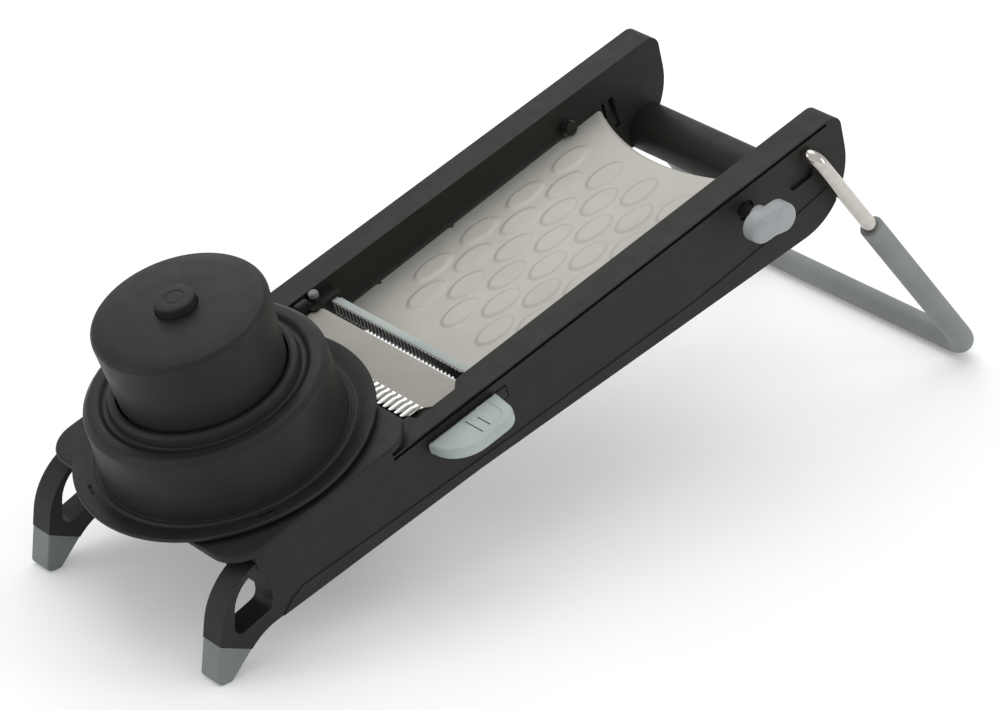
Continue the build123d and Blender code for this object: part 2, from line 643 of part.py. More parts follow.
def carriage_hood():
    """Lower tier: dished brim, wall, shoulder and the stepped collar round the pusher."""
    brim = [(BRIM_R, 8.8), (BRIM_R, 10.0), (70.8, 10.6), (66, 9.4), (61.6, 8.3), (60.9, 9.1), (59.9, 9.5)]
    wall = [(58.9, 9.0), (58.3, 16), (57.7, 26), (57.6, 36), (57.3, 38.8), (56.0, 41.0), (54.2, 42.0)]
    collar = [(52.0, 42.4), (49.8, 42.3), (48.5, 41.7), (47.5, 40.8), (46.2, 40.6), (45.2, 41.2)]
    collar += [(44.6, 43.2), (43.7, 45.1), (42.3, 46.0), (40.8, 45.8)]
    inner = [(40.2, 45.0), (40.2, HOOD_CEILING), (50.6, HOOD_CEILING), (53.8, 37.0), (55.1, 34), (55.5, 24),
             (56.2, BASE_TOP), (68.4, BASE_TOP), (69.4, BASE_TOP + 0.8)]
    hood = turned(brim + wall + collar + inner)
    for u, v in hood_bolts():
        hood -= post(u, v, 1.5, BASE_TOP - 1, BASE_TOP + 1.6)
    for quarter in range(4):
        a = radians(155 + 90 * quarter)
        hood -= Pos(CARRIAGE_U + 65 * cos(a), 65 * sin(a), 9) * Rot(0, 0, degrees(a) + 90) * Box(7, 1.6, 8)
    return hood


# ---------------------------------------------------------------- pusher
def pusher_cap():
    """Upper tier: a tapered cup, open below, with the button's well in its top."""
    rim = 41.4
    wall = 2.2
    well_in, well_out = 11.6, 13.4
    outer = [(CAP_R, 0.4), (CAP_R, 41), (40.2, 60), (rim, 78), (rim - 0.5, 80.9), (rim - 2.2, 82.7),
             (36, 83.7), (24, 84.7), (9.9, CAP_TOP)]
    inner = [(9.9, CAP_TOP - 2.4), (well_in, CAP_TOP - 2.5), (well_in, 64), (3.3, 64), (3.3, 62),
             (well_out, 62), (well_out, 82.2), (34, 81.2), (rim - wall - 0.6, 79), (rim - wall, 77),
             (40.2 - wall, 60), (CAP_R - wall, 41), (CAP_R - wall, 0.4)]
    return turned(outer + inner)


def pin_places():
    """Food pins on hexagonal rings."""
    places = []
    for ring in range(1, PIN_ROWS + 1):
        count = 6 * ring
        for index in range(count):
            a = 2 * pi * index / count + (pi / 12 if ring == 2 else 0)
            places.append((CARRIAGE_U + (4 + 9.5 * ring) * cos(a), (4 + 9.5 * ring) * sin(a)))
    return places


def pin_plate():
    """Disc that closes the cup and holds the food pins."""
    plate = post(CARRIAGE_U, 0, CAP_R - 2.2, 0.4, 3.4)
    plate -= post(CARRIAGE_U, 0, 9.4, -1, 5)
    for u, v in pin_places():
        plate -= post(u, v, 0.9, 0, 2.6)
    return plate


def food_pins():
    pins = []
    for u, v in pin_places():
        shank = post(u, v, 0.9, -2.2, 2.6)
        tip = Pos(u, v, -2.8) * Cone(0.1, 0.9, 1.2)
        pins.append(shank + tip)
    return Compound(pins)


def eject_button():
    """Low button in the middle of the cap."""
    return turned([(0, 79.5), (11.1, 79.5), (11.1, 81.2), (9.55, 81.2), (9.55, 88.6), (8.2, 90.0),
                   (7.4, 90.0), (7.0, 89.6), (0, 89.6)])


def eject_stem():
    """Rod and small disc that free the food from the pins."""
    return turned([(0, 0.4), (9.0, 0.4), (9.0, 2.6), (3.0, 4.4), (3.0, 79.5), (0, 79.5)])


def button_spring():
    """Return spring under the button's flange."""
    height, turns, radius, wire = 14.0, 5, 8.0, 0.55
    coil = Helix(pitch=height / turns, height=height, radius=radius)
    start = Plane(origin=coil @ 0, z_dir=coil % 0)
    spring = sweep(start * Circle(wire), path=coil)
    return Pos(CARRIAGE_U, 0, 64.8) * spring


# ---------------------------------------------------------------- assembly
def build():
    """All pieces by node name, in the deck's own axes."""
    right_foot = foot()
    right_runner = runner()
    return {
        "rail_right": rail(True),
        "rail_left": mirrored(rail(False)),
        "foot_right": right_foot,
        "foot_left": mirrored(right_foot),
        "rear_bar": rear_bar(),
        "exit_plate": exit_plate(),
        "blade_bridge": blade_bridge(),
        "deck_screws": deck_screws(),
        "blade": blade(),
        "lock_post": lock_post(),
        "lock_lever": lock_lever(),
        "feed_plate": feed_plate(),
        "hinge_peg": hinge_peg(),
        "wing_knob": wing_knob(),
        "knob_spindle": knob_spindle(),
        "spindle_collar": spindle_collar(),
        "stand_wire": stand_wire(),
        "stand_sleeve": stand_sleeve(),
        "julienne_bar": julienne_bar(),
        "julienne_comb": julienne_comb(),
        "julienne_handle": julienne_handle(),
        "carriage_base": carriage_base(),
        "runner_right": right_runner,
        "runner_left": mirrored(right_runner),
        "food_chute": food_chute(),
        "carriage_hood": carriage_hood(),
        "hood_screws": hood_screws(),
        "pusher_cap": pusher_cap(),
        "pin_plate": pin_plate(),
        "food_pins": food_pins(),
        "eject_button": eject_button(),
        "eject_stem": eject_stem(),
        "button_spring": button_spring(),
    }


def shift_to_floor(pieces):
    """Offset that puts the origin at the middle of the box's underside."""
    box = Compound(list(pieces.values())).bounding_box()
    return Vector(-(box.min.X + box.max.X) / 2, -(box.min.Y + box.max.Y) / 2, -box.min.Z)


DECK = build()
TILTED = {name: Rot(0, -TILT, 0) * shape for name, shape in DECK.items()}
SHIFT = shift_to_floor(TILTED)


def place(u, v, w):
    """A deck point in the finished part's own frame."""
    point = Vector(u, v, w).rotate(Axis.Y, -TILT)
    return point + SHIFT


os.makedirs("parts", exist_ok=True)
for node, shape in TILTED.items():
    moved = Pos(*SHIFT) * shape
    solids = moved.solids()
    export_step(Compound(solids) if len(solids) > 1 else solids[0], f"parts/{node}.step")
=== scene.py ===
import json
import math

import bmesh
import bpy
from mathutils import Matrix, Vector

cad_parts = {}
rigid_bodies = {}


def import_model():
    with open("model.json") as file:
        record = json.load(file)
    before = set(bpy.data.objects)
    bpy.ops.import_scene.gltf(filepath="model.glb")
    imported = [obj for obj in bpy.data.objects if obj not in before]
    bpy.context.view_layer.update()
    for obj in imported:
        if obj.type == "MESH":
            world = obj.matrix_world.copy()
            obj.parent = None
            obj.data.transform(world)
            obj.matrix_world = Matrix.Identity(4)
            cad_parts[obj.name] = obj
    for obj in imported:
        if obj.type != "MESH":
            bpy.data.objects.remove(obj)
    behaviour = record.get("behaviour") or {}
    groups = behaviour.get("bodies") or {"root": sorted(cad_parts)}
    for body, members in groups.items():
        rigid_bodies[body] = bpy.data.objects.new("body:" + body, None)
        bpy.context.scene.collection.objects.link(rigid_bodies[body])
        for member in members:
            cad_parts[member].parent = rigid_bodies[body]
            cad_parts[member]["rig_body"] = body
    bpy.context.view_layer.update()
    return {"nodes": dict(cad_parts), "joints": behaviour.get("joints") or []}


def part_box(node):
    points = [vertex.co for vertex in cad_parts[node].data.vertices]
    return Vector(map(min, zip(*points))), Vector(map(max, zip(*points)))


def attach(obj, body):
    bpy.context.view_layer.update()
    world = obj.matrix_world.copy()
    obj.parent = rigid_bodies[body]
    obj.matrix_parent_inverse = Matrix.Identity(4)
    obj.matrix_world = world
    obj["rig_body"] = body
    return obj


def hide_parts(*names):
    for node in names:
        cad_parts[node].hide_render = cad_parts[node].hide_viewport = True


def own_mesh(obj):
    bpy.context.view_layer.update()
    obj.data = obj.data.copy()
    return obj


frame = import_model()

# Lengths are millimetres in the deck's axes until a piece is made: u runs along the rails, 0 at their
# high back end and negative towards the feet; v runs across, + to the left rail; w is square to the deck,
# 0 on top of the rails. DECK turns a deck point into the row frame, in metres.
MM = 0.001
TILT = math.radians(16.85)
PIVOT = (-22.0, -8.5)            # axis of the folding stand, (u, w)
HINGE = (-64.0, -13.5)           # axis of the feed plate and wing knob, (u, w)
CARRIAGE_U = -325.0              # axis of the pusher

RAIL_OUT = 72.0
STAND_V = 79.0
STAND_LEAN = (62.0, -155.0)
TOE = (-406.5, -45.2)
WIRE_R = 3.75
SLEEVE_R = 6.1
SLEEVE_START = 62.0              # from the pivot, down a leg
STAND_BEND = 12.0                # radius of the bottom corners

PLATE_HALF = 54.5
PLATE_FRONT = (-215.5, -21.3)
PLATE_REAR = (-42.6, -16.9)
PLATE_SAG = 14.0
SHEET = 1.0
FLANGE_LOW = -24.5               # bottom of the flange under the plate's rear edge

BLADE_REAR = -230.2
BLADE_FRONT = -251.5
BLADE_TIPS = -262.0
BLADE_MID = -2.3                 # the blade sits a little to the right
BLADE_HALF = 52.0
BLADE_TOP = -6.3
BLADE_THICK = 0.8
BLADE_CORNER = 3.0               # chamfer of the four corners
BLADE_HONED = 2.2                # width of the bevel on the straight edge
CRINKLES = 24                    # waves of the front edge
WAVE_HALF = BLADE_HALF - BLADE_CORNER
WAVE_PITCH = 2 * WAVE_HALF / CRINKLES

BAR_U = (-223.2, -219.2)
BAR_W = (-13.5, -7.5)
BAR_START = -66.6                # the bar's near end, inside the right rail
BAR_END = 47.2
TONGUE = 6.4                     # length of the tongue on the bar's far end
TINES = 35
TINE_PITCH = 2.7
TINE_REACH = 2.0

SHOE_FRONT = -231.0              # the pull's foot, inside the mouth of the rail's slot
SHOE_DEEP = 6.0
PULL_NEAR = -RAIL_OUT - 0.4      # edge of the pull beside the rail
PULL_FAR = -92.8
PULL_TOP = -6.0
PULL_LOW = -11.6

BRIM_R = 71.5
BRIM_LOW = 6.4                   # underside of the pusher's brim
SLIT_R = (64.2, 65.8)            # the two slits in the brim, inner and outer radius
SLIT_SIDE = 8.0                  # a slit's upper rim lies above this height, its lower rim below it
HOOD_BORE = 40.5
CAP_R = 39.2
CAP_RIM_R = 41.4
BUTTON_R = 9.55
BUTTON_WELL_R = 9.9
KNOB_V = 84.0                    # inner face of the knob, from the middle plane
KNOB_THICK = 9.4
KNOB_REACH = 14.0
KNOB_LOBE = 7.3
KNOB_ANGLE = math.radians(-10.0)


def deck_matrix():
    """Deck millimetres to row-frame metres, anchored on the stand's pivot."""
    joint = next(j for j in frame["joints"] if j["name"] == "stand_fold")
    along = Vector((math.cos(TILT), 0.0, math.sin(TILT)))
    normal = Vector((-math.sin(TILT), 0.0, math.cos(TILT)))
    pivot = Vector(joint["pos_m"])
    box_low, box_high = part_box("exit_plate")
    middle = Vector((0.0, (box_low.y + box_high.y) / 2, 0.0))
    origin = pivot - along * PIVOT[0] * MM - normal * PIVOT[1] * MM
    origin.y = middle.y
    turn = Matrix((
        (along.x * MM, 0.0, normal.x * MM, origin.x),
        (0.0, MM, 0.0, origin.y),
        (along.z * MM, 0.0, normal.z * MM, origin.z),
        (0.0, 0.0, 0.0, 1.0),
    ))
    return turn


DECK = deck_matrix()


# ------------------------------------------------------------------ materials
def node_tree(name):
    """New material with its node tree and its main shader."""
    material = bpy.data.materials.new(name)
    material.use_nodes = True
    tree = material.node_tree
    shader = tree.nodes["Principled BSDF"]
    return material, tree, shader


def noise_node(tree, scale, detail=4.0, stretch=(1, 1, 1), roughness=0.55):
    """Noise in the row frame; scale is in features per metre."""
    coords = tree.nodes.new("ShaderNodeTexCoord")
    mapping = tree.nodes.new("ShaderNodeMapping")
    mapping.inputs["Scale"].default_value = stretch
    texture = tree.nodes.new("ShaderNodeTexNoise")
    texture.inputs["Scale"].default_value = scale
    texture.inputs["Detail"].default_value = detail
    texture.inputs["Roughness"].default_value = roughness
    tree.links.new(coords.outputs["Object"], mapping.inputs["Vector"])
    tree.links.new(mapping.outputs["Vector"], texture.inputs["Vector"])
    return texture


def ramp(tree, value, low, high, start=0.3, end=0.7):
    """Colour ramp from low to high over a noise value."""
    node = tree.nodes.new("ShaderNodeValToRGB")
    node.color_ramp.elements[0].position = start
    node.color_ramp.elements[0].color = (*low, 1.0)
    node.color_ramp.elements[1].position = end
    node.color_ramp.elements[1].color = (*high, 1.0)
    tree.links.new(value, node.inputs["Fac"])
    return node


def span(tree, value, low, high, start=0.0, end=1.0):
    """Maps a value from start..end to low..high."""
    node = tree.nodes.new("ShaderNodeMapRange")
    node.inputs["From Min"].default_value = start
    node.inputs["From Max"].default_value = end
    node.inputs["To Min"].default_value = low
    node.inputs["To Max"].default_value = high
    tree.links.new(value, node.inputs["Value"])
    return node


def edge_mask(tree, radius, gain):
    """0 on open faces, up to 1 on outer edges, from how far a rounded normal leans from the true one."""
    bevel = tree.nodes.new("ShaderNodeBevel")
    bevel.samples = 6
    bevel.inputs["Radius"].default_value = radius
    geometry = tree.nodes.new("ShaderNodeNewGeometry")
    dot = tree.nodes.new("ShaderNodeVectorMath")
    dot.operation = "DOT_PRODUCT"
    tree.links.new(bevel.outputs["Normal"], dot.inputs[0])
    tree.links.new(geometry.outputs["Normal"], dot.inputs[1])
    return span(tree, dot.outputs["Value"], gain, 0.0, 0.75, 0.995)


def bump(tree, shader, layers):
    """Chains bump layers of (height socket, strength, distance in metres) into the shader's normal."""
    previous = None
    for height, strength, distance in layers:
        node = tree.nodes.new("ShaderNodeBump")
        node.inputs["Strength"].default_value = strength
        node.inputs["Distance"].default_value = distance
        tree.links.new(height, node.inputs["Height"])
        if previous:
            tree.links.new(previous, node.inputs["Normal"])
        previous = node.outputs["Normal"]
    tree.links.new(previous, shader.inputs["Normal"])


def mix_colour(tree, factor, first, second):
    """Mixes a colour socket with a fixed colour by a factor."""
    node = tree.nodes.new("ShaderNodeMix")
    node.data_type = "RGBA"
    tree.links.new(factor, node.inputs["Factor"])
    tree.links.new(first, node.inputs[6])
    node.inputs[7].default_value = (*second, 1.0)
    return node.outputs[2]


def moulded(name, dark, light, rough, grain=2600.0, grain_depth=0.00004, wear_and_highlight=None, wear_and_highlight_gain=0.5,
            shine=0.5):
    """Moulded plastic or rubber: fine eroded grain, faint flow mottling, edges painted paler, partly as
    rubbed wear and partly as a painted edge highlight.
    """
    material, tree, shader = node_tree(name)
    shader.inputs["Specular IOR Level"].default_value = shine
    mottle = noise_node(tree, 42.0, 3.0)
    colour = ramp(tree, mottle.outputs["Fac"], dark, light).outputs["Color"]
    # Paler edges: partly rubbed wear, partly a painted highlight along the edges.
    if wear_and_highlight:
        mask = edge_mask(tree, 0.0007, wear_and_highlight_gain)
        scuff_and_sheen_noise = noise_node(tree, 900.0, 3.0)
        wear_and_highlight_mask = tree.nodes.new("ShaderNodeMath")
        wear_and_highlight_mask.operation = "MULTIPLY"
        tree.links.new(mask.outputs["Result"], wear_and_highlight_mask.inputs[0])
        patches = span(tree, scuff_and_sheen_noise.outputs["Fac"], 0.35, 1.0, 0.35, 0.62)
        tree.links.new(patches.outputs["Result"], wear_and_highlight_mask.inputs[1])
        colour = mix_colour(tree, wear_and_highlight_mask.outputs["Value"], colour, wear_and_highlight)
    tree.links.new(colour, shader.inputs["Base Color"])
    patchy = noise_node(tree, 130.0, 4.0)
    gloss = span(tree, patchy.outputs["Fac"], rough - 0.05, rough + 0.06, 0.3, 0.7)
    tree.links.new(gloss.outputs["Result"], shader.inputs["Roughness"])
    fine = noise_node(tree, grain, 2.0)
    coarse = noise_node(tree, 260.0, 2.0)
    bump(tree, shader, [(coarse.outputs["Fac"], 0.12, 0.00006), (fine.outputs["Fac"], 0.35, grain_depth)])
    return material


def steel(name, dark, light, rough, stretch, scale=700.0, spots=0.0, metal=1.0):
    """Stainless sheet: fine lines along one direction, cloudy tone and a little smearing."""
    material, tree, shader = node_tree(name)
    shader.inputs["Metallic"].default_value = metal
    lines = noise_node(tree, scale, 5.0, stretch, 0.7)
    clouds = noise_node(tree, 26.0, 4.0)
    tone = tree.nodes.new("ShaderNodeMath")
    tone.operation = "MULTIPLY_ADD"
    tone.inputs[1].default_value = 0.45
    tree.links.new(lines.outputs["Fac"], tone.inputs[0])
    cloud_share = span(tree, clouds.outputs["Fac"], 0.12, 0.5, 0.25, 0.75)
    tree.links.new(cloud_share.outputs["Result"], tone.inputs[2])
    colour = ramp(tree, tone.outputs["Value"], dark, light, 0.25, 0.8)
    tree.links.new(colour.outputs["Color"], shader.inputs["Base Color"])
    gloss = span(tree, lines.outputs["Fac"], rough - 0.06, rough + 0.1, 0.3, 0.7)
    tree.links.new(gloss.outputs["Result"], shader.inputs["Roughness"])
    layers = [(lines.outputs["Fac"], 0.25, 0.00003)]
    if spots:
        blast = noise_node(tree, 3200.0, 2.0)
        layers.append((blast.outputs["Fac"], spots, 0.00003))
    bump(tree, shader, layers)
    return material


def chrome(name):
    """Polished bent wire with faint drawing lines."""
    material, tree, shader = node_tree(name)
    shader.inputs["Metallic"].default_value = 1.0
    lines = noise_node(tree, 240.0, 3.0, (1.0, 0.3, 1.0), 0.6)
    colour = ramp(tree, lines.outputs["Fac"], (0.50, 0.47, 0.43), (0.58, 0.55, 0.51))
    tree.links.new(colour.outputs["Color"], shader.inputs["Base Color"])
    gloss = span(tree, lines.outputs["Fac"], 0.12, 0.17, 0.3, 0.7)
    tree.links.new(gloss.outputs["Result"], shader.inputs["Roughness"])
    bump(tree, shader, [(lines.outputs["Fac"], 0.02, 0.00001)])
    return material


# The paler edge colours below are partly rubbed wear and partly painted edge highlight.
CHARCOAL = moulded("charcoal_plastic", (0.0145, 0.0145, 0.0120), (0.0180, 0.0180, 0.0155), 0.48,
                   wear_and_highlight=(0.040, 0.040, 0.035), shine=0.2)
HAT_PLASTIC = moulded("pusher_plastic", (0.0150, 0.0150, 0.0130), (0.0185, 0.0185, 0.0165), 0.46,
                      grain=3200.0, grain_depth=0.00003, wear_and_highlight=(0.04, 0.04, 0.036), wear_and_highlight_gain=0.2, shine=0.2)
FOOT_RUBBER = moulded("foot_rubber", (0.135, 0.155, 0.152), (0.165, 0.187, 0.183), 0.62, grain=2000.0,
                      wear_and_highlight=(0.24, 0.26, 0.255), wear_and_highlight_gain=0.35)
SLEEVE_RUBBER = moulded("sleeve_rubber", (0.185, 0.198, 0.188), (0.22, 0.234, 0.224), 0.58, grain=2000.0,
                        wear_and_highlight=(0.32, 0.33, 0.32), wear_and_highlight_gain=0.2)
PULL_PLASTIC = moulded("pull_plastic", (0.335, 0.385, 0.36), (0.40, 0.45, 0.42), 0.42, grain=3000.0,
                       wear_and_highlight=(0.55, 0.60, 0.57), wear_and_highlight_gain=0.4)
POST_PLASTIC = moulded("post_plastic", (0.13, 0.135, 0.125), (0.17, 0.175, 0.16), 0.42, grain=3000.0)
KNOB_PLASTIC = moulded("knob_plastic", (0.28, 0.30, 0.305), (0.33, 0.35, 0.355), 0.45, grain=3000.0,
                       wear_and_highlight=(0.42, 0.45, 0.46), wear_and_highlight_gain=0.3)
PLATE_STEEL = steel("plate_steel", (0.40, 0.385, 0.345), (0.48, 0.465, 0.42), 0.48, (0.12, 1.0, 1.0),
                    spots=0.2, metal=0.35)
BLADE_STEEL = steel("blade_steel", (0.28, 0.268, 0.235), (0.34, 0.328, 0.29), 0.5, (1.0, 0.15, 1.0),
                    spots=0.4, metal=0.4)
EDGE_STEEL = steel("edge_steel", (0.80, 0.80, 0.78), (0.95, 0.95, 0.93), 0.16, (0.15, 1.0, 1.0), scale=1500.0)
FASTENER_STEEL = steel("fastener_steel", (0.42, 0.42, 0.42), (0.58, 0.58, 0.57), 0.32, (1.0, 1.0, 0.3))
COMB_STEEL = steel("comb_steel", (0.12, 0.12, 0.11), (0.22, 0.22, 0.21), 0.34, (1.0, 1.0, 0.2))
WIRE_CHROME = chrome("wire_chrome")


# ------------------------------------------------------------------ mesh helpers
def smooth_by_angle(mesh, degrees):
    """Shades smooth, with creases where faces meet at more than the given angle."""
    limit = math.radians(degrees)
    shell = bmesh.new()
    shell.from_mesh(mesh)
    for edge in shell.edges:
        edge.smooth = len(edge.link_faces) == 2 and edge.calc_face_angle(0.0) < limit
    for face in shell.faces:
        face.smooth = True
    shell.to_mesh(mesh)
    shell.free()


def piece(name, shell, material, body, nodes=(), crease=35.0, in_deck=True):
    """Makes a bmesh into a finished piece that rides on a body and stands for CAD nodes."""
    bmesh.ops.recalc_face_normals(shell, faces=shell.faces)
    mesh = bpy.data.meshes.new(name)
    shell.to_mesh(mesh)
    shell.free()
    if in_deck:
        mesh.transform(DECK)
    smooth_by_angle(mesh, crease)
    made = bpy.data.objects.new(name, mesh)
    bpy.context.scene.collection.objects.link(made)
    materials = material if isinstance(material, (list, tuple)) else [material]
    for one in materials:
        mesh.materials.append(one)
    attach(made, body)
    if nodes:
        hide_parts(*nodes)
    return made


def corner_arc(before, corner, after, radius, steps):
    """Points of the arc that rounds a corner, in the plane or in space."""
    back, ahead = (before - corner).normalized(), (after - corner).normalized()
    half = back.angle(ahead) / 2
    reach = radius / math.tan(half)
    centre = corner + (back + ahead).normalized() * (radius / math.sin(half))
    start, stop = corner + back * reach - centre, corner + ahead * reach - centre
    turn = math.pi - 2 * half
    arc = []
    for step in range(steps + 1):
        share = step / steps
        mixed = start * math.sin((1 - share) * turn) + stop * math.sin(share * turn)
        arc.append(centre + mixed / math.sin(turn))
    return arc


def fillet_path(points, radii, steps=6, closed=True):
    """Path with each corner turned into an arc of its radius. A corner of radius 0 stays sharp."""
    corners = [Vector(point) for point in points]
    last = len(corners) - 1
    path = []
    for index, corner in enumerate(corners):
        is_end = not closed and index in (0, last)
        if radii[index] <= 0 or is_end:
            path.append(corner)
            continue
        after = corners[0] if index == last else corners[index + 1]
        path += corner_arc(corners[index - 1], corner, after, radii[index], steps)
    return path


def offset_loop(loop, amount):
    """Closed plane loop moved inwards by amount, corner by corner. The loop runs anticlockwise."""
    count = len(loop)
    moved = []
    for index in range(count):
        before, here, after = loop[index - 1], loop[index], loop[(index + 1) % count]
        one = (here - before).normalized()
        two = (after - here).normalized()
        left_one, left_two = Vector((-one.y, one.x)), Vector((-two.y, two.x))
        lean = (left_one + left_two).normalized()
        stretch = 1.0 / max(0.5, lean.dot(left_one))
        moved.append(here + lean * amount * stretch)
    return moved


def rounded_slab(loop, low, high, edge_low, edge_high, to_point, arc=4):
    """Closed solid from a plane loop between two heights, its rims rounded.

    to_point(p, h) gives the deck point of a loop point at a height."""
    shell = bmesh.new()
    levels = []
    for step in range(arc + 1):
        angle = math.pi / 2 * step / arc
        levels.append((edge_low * (1 - math.sin(angle)), low + edge_low * (1 - math.cos(angle))))
    for step in range(arc + 1):
        angle = math.pi / 2 * step / arc
        levels.append((edge_high * (1 - math.cos(angle)), high - edge_high * (1 - math.sin(angle))))
    rings = []
    for inset, height in levels:
        ring = offset_loop(loop, inset)
        rings.append([shell.verts.new(to_point(point, height)) for point in ring])
    for lower, upper in zip(rings, rings[1:]):
        bridge(shell, lower, upper)
    shell.faces.new(rings[0])
    shell.faces.new(rings[-1])
    return shell


def bridge(shell, first, second):
    """Joins two rings with the same number of points by a band of faces."""
    count = len(first)
    for index in range(count):
        after = (index + 1) % count
        shell.faces.new((first[index], first[after], second[after], second[index]))


def lathe(profile, segments, open_angles=None):
    """Closed solid turned on the pusher's axis, from a loop of (radius, w) points.

    open_angles(band, step) is true where a face is left out."""
    shell = bmesh.new()
    rings = []
    for radius, w in profile:
        if radius < 1e-6:
            rings.append([shell.verts.new((CARRIAGE_U, 0.0, w))])
            continue
        ring = []
        for step in range(segments):
            angle = 2 * math.pi * step / segments
            u, v = CARRIAGE_U + radius * math.cos(angle), radius * math.sin(angle)
            ring.append(shell.verts.new((u, v, w)))
        rings.append(ring)
    count = len(rings)
    for index in range(count):
        first, second = rings[index], rings[(index + 1) % count]
        if len(first) == 1 and len(second) == 1:
            continue
        for step in range(segments):
            after = (step + 1) % segments
            if open_angles and open_angles(index, step):
                continue
            if len(first) == 1:
                shell.faces.new((first[0], second[after], second[step]))
            elif len(second) == 1:
                shell.faces.new((first[step], first[after], second[0]))
            else:
                shell.faces.new((first[step], first[after], second[after], second[step]))
    return shell


def box_into(shell, u, v, w):
    """Adds a plain box to a shell and returns its vertices."""
    made = bmesh.ops.create_cube(shell, size=1.0)["verts"]
    size = Vector((u[1] - u[0], v[1] - v[0], w[1] - w[0]))
    centre = Vector(((u[0] + u[1]) / 2, (v[0] + v[1]) / 2, (w[0] + w[1]) / 2))
    for vert in made:
        vert.co = Vector((vert.co.x * size.x, vert.co.y * size.y, vert.co.z * size.z)) + centre
    return made


def soften_box(shell, verts, offset, segments):
    """Rounds the edges of the box that a shell holds."""
    geometry = verts[:] + shell.edges[:]
    bmesh.ops.bevel(shell, geom=geometry, offset=offset, segments=segments, affect="EDGES", profile=0.5)


def softened(node, material, width):
    """The CAD solid's own shape with its sharp edges rounded by a real bevel."""
    angle = 28.0
    source = frame["nodes"][node]
    shell = bmesh.new()
    shell.from_mesh(source.data)
    bmesh.ops.remove_doubles(shell, verts=shell.verts, dist=2e-6)
    bmesh.ops.dissolve_limit(shell, angle_limit=math.radians(0.4), verts=shell.verts, edges=shell.edges)
    body = source["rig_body"]
    made = piece(node + "_moulding", shell, material, body, [node], crease=angle, in_deck=False)
    bevel = made.modifiers.new("edges", "BEVEL")
    bevel.width = width * MM
    bevel.segments = 2
    bevel.limit_method = "ANGLE"
    bevel.angle_limit = math.radians(angle)
    bevel.use_clamp_overlap = True
    bevel.harden_normals = True
    return made


def keep(node, material):
    """Keeps a CAD node and gives it a better material."""
    source = frame["nodes"][node]
    source.data.materials.clear()
    source.data.materials.append(material)


# ------------------------------------------------------------------ the food pusher
def arc_profile(points, radii, steps=5):
    """(radius, w) loop with filleted corners, as plain pairs."""
    return [(p.x, p.y) for p in fillet_path(points, radii, steps)]


def make_hood():
    """Dished brim, bead, wall, shoulder and the soft collar, as one turned shell with two slits."""
    slit_in, slit_out = SLIT_R
    brim = [(BRIM_R, 8.8), (BRIM_R, 10.6), (66.0, 9.4), (slit_out, 9.35), (slit_in, 8.95), (61.5, 8.3)]
    brim_radii = [0.4, 0.7, 2.0, 0, 0, 1.2]
    wall = [(60.7, 9.55), (58.9, 9.1), (58.2, 18.0), (57.7, 27.0), (57.5, 39.4), (54.4, 42.3)]
    wall_radii = [0.5, 0.4, 30.0, 30.0, 2.4, 3.0]
    collar = [(49.6, 42.35), (47.4, 40.5), (45.2, 40.5), (44.2, 45.2), (42.4, 46.2), (HOOD_BORE, 45.9)]
    collar_radii = [2.4, 1.8, 1.0, 1.0, 0.8, 0.2]
    inner = [(HOOD_BORE, 38.2), (50.6, 38.2), (53.8, 37.0), (55.1, 34.0), (55.5, 24.0), (56.2, BRIM_LOW),
             (slit_in, BRIM_LOW), (slit_out, BRIM_LOW), (68.4, BRIM_LOW), (69.6, 7.3)]
    inner_radii = [0.3, 1.0, 1.0, 1.0, 4.0, 0.4, 0, 0, 0.5, 0.3]
    radii = brim_radii + wall_radii + collar_radii + inner_radii
    profile = arc_profile(brim + wall + collar + inner, radii, 4)
    segments = 256
    first_slit, slit_width, quarter = 110, 5, segments // 4    # counted in segments
    top_band = next(i for i, p in enumerate(profile) if abs(p[0] - slit_out) < 1e-3 and p[1] > SLIT_SIDE)
    low_band = next(i for i, p in enumerate(profile) if abs(p[0] - slit_in) < 1e-3 and p[1] < SLIT_SIDE)

    def open_face(band, step):
        past = step - first_slit
        in_slit = 0 <= past < 2 * quarter and past % quarter < slit_width
        return band in (top_band, low_band) and in_slit

    shell = lathe(profile, segments, open_angles=open_face)
    rim = [edge for edge in shell.edges if len(edge.link_faces) == 1]
    close_slits(shell, rim)
    piece("carriage_hood_shell", shell, HAT_PLASTIC, "carriage", ["carriage_hood"], 50)


def close_slits(shell, rim):
    """Joins each slit's upper rim to its lower rim with straight walls."""
    lower = {}
    for edge in rim:
        for vert in edge.verts:
            if vert.co.z < SLIT_SIDE:
                lower[(round(vert.co.x, 3), round(vert.co.y, 3))] = vert
    for edge in rim:
        one, two = edge.verts
        if one.co.z < SLIT_SIDE:
            continue
        keys = [(round(v.co.x, 3), round(v.co.y, 3)) for v in (one, two)]
        if keys[0] in lower and keys[1] in lower:
            shell.faces.new((one, two, lower[keys[1]], lower[keys[0]]))


def make_cap():
    """Tapered cup with a softly domed top, a rolled rim and the button's well."""
    outer = [(CAP_R, 0.4), (CAP_R, 41.0), (40.2, 60.0), (CAP_RIM_R, 82.4), (34.0, 84.0), (22.0, 84.9),
             (BUTTON_WELL_R, 85.2)]
    outer_radii = [0.5, 120.0, 160.0, 3.4, 30.0, 60.0, 0.25]
    inner = [(BUTTON_WELL_R, 82.8), (11.6, 82.7), (11.6, 64.0), (3.3, 64.0), (3.3, 62.0), (13.4, 62.0),
             (13.4, 82.2), (34.0, 81.2), (38.6, 79.0), (39.2, 77.0), (38.0, 60.0), (37.0, 41.0), (37.0, 0.4)]
    profile = arc_profile(outer + inner, outer_radii + [0] * len(inner), 8)
    piece("pusher_cap_shell", lathe(profile, 192), HAT_PLASTIC, "pusher", ["pusher_cap"], 50)


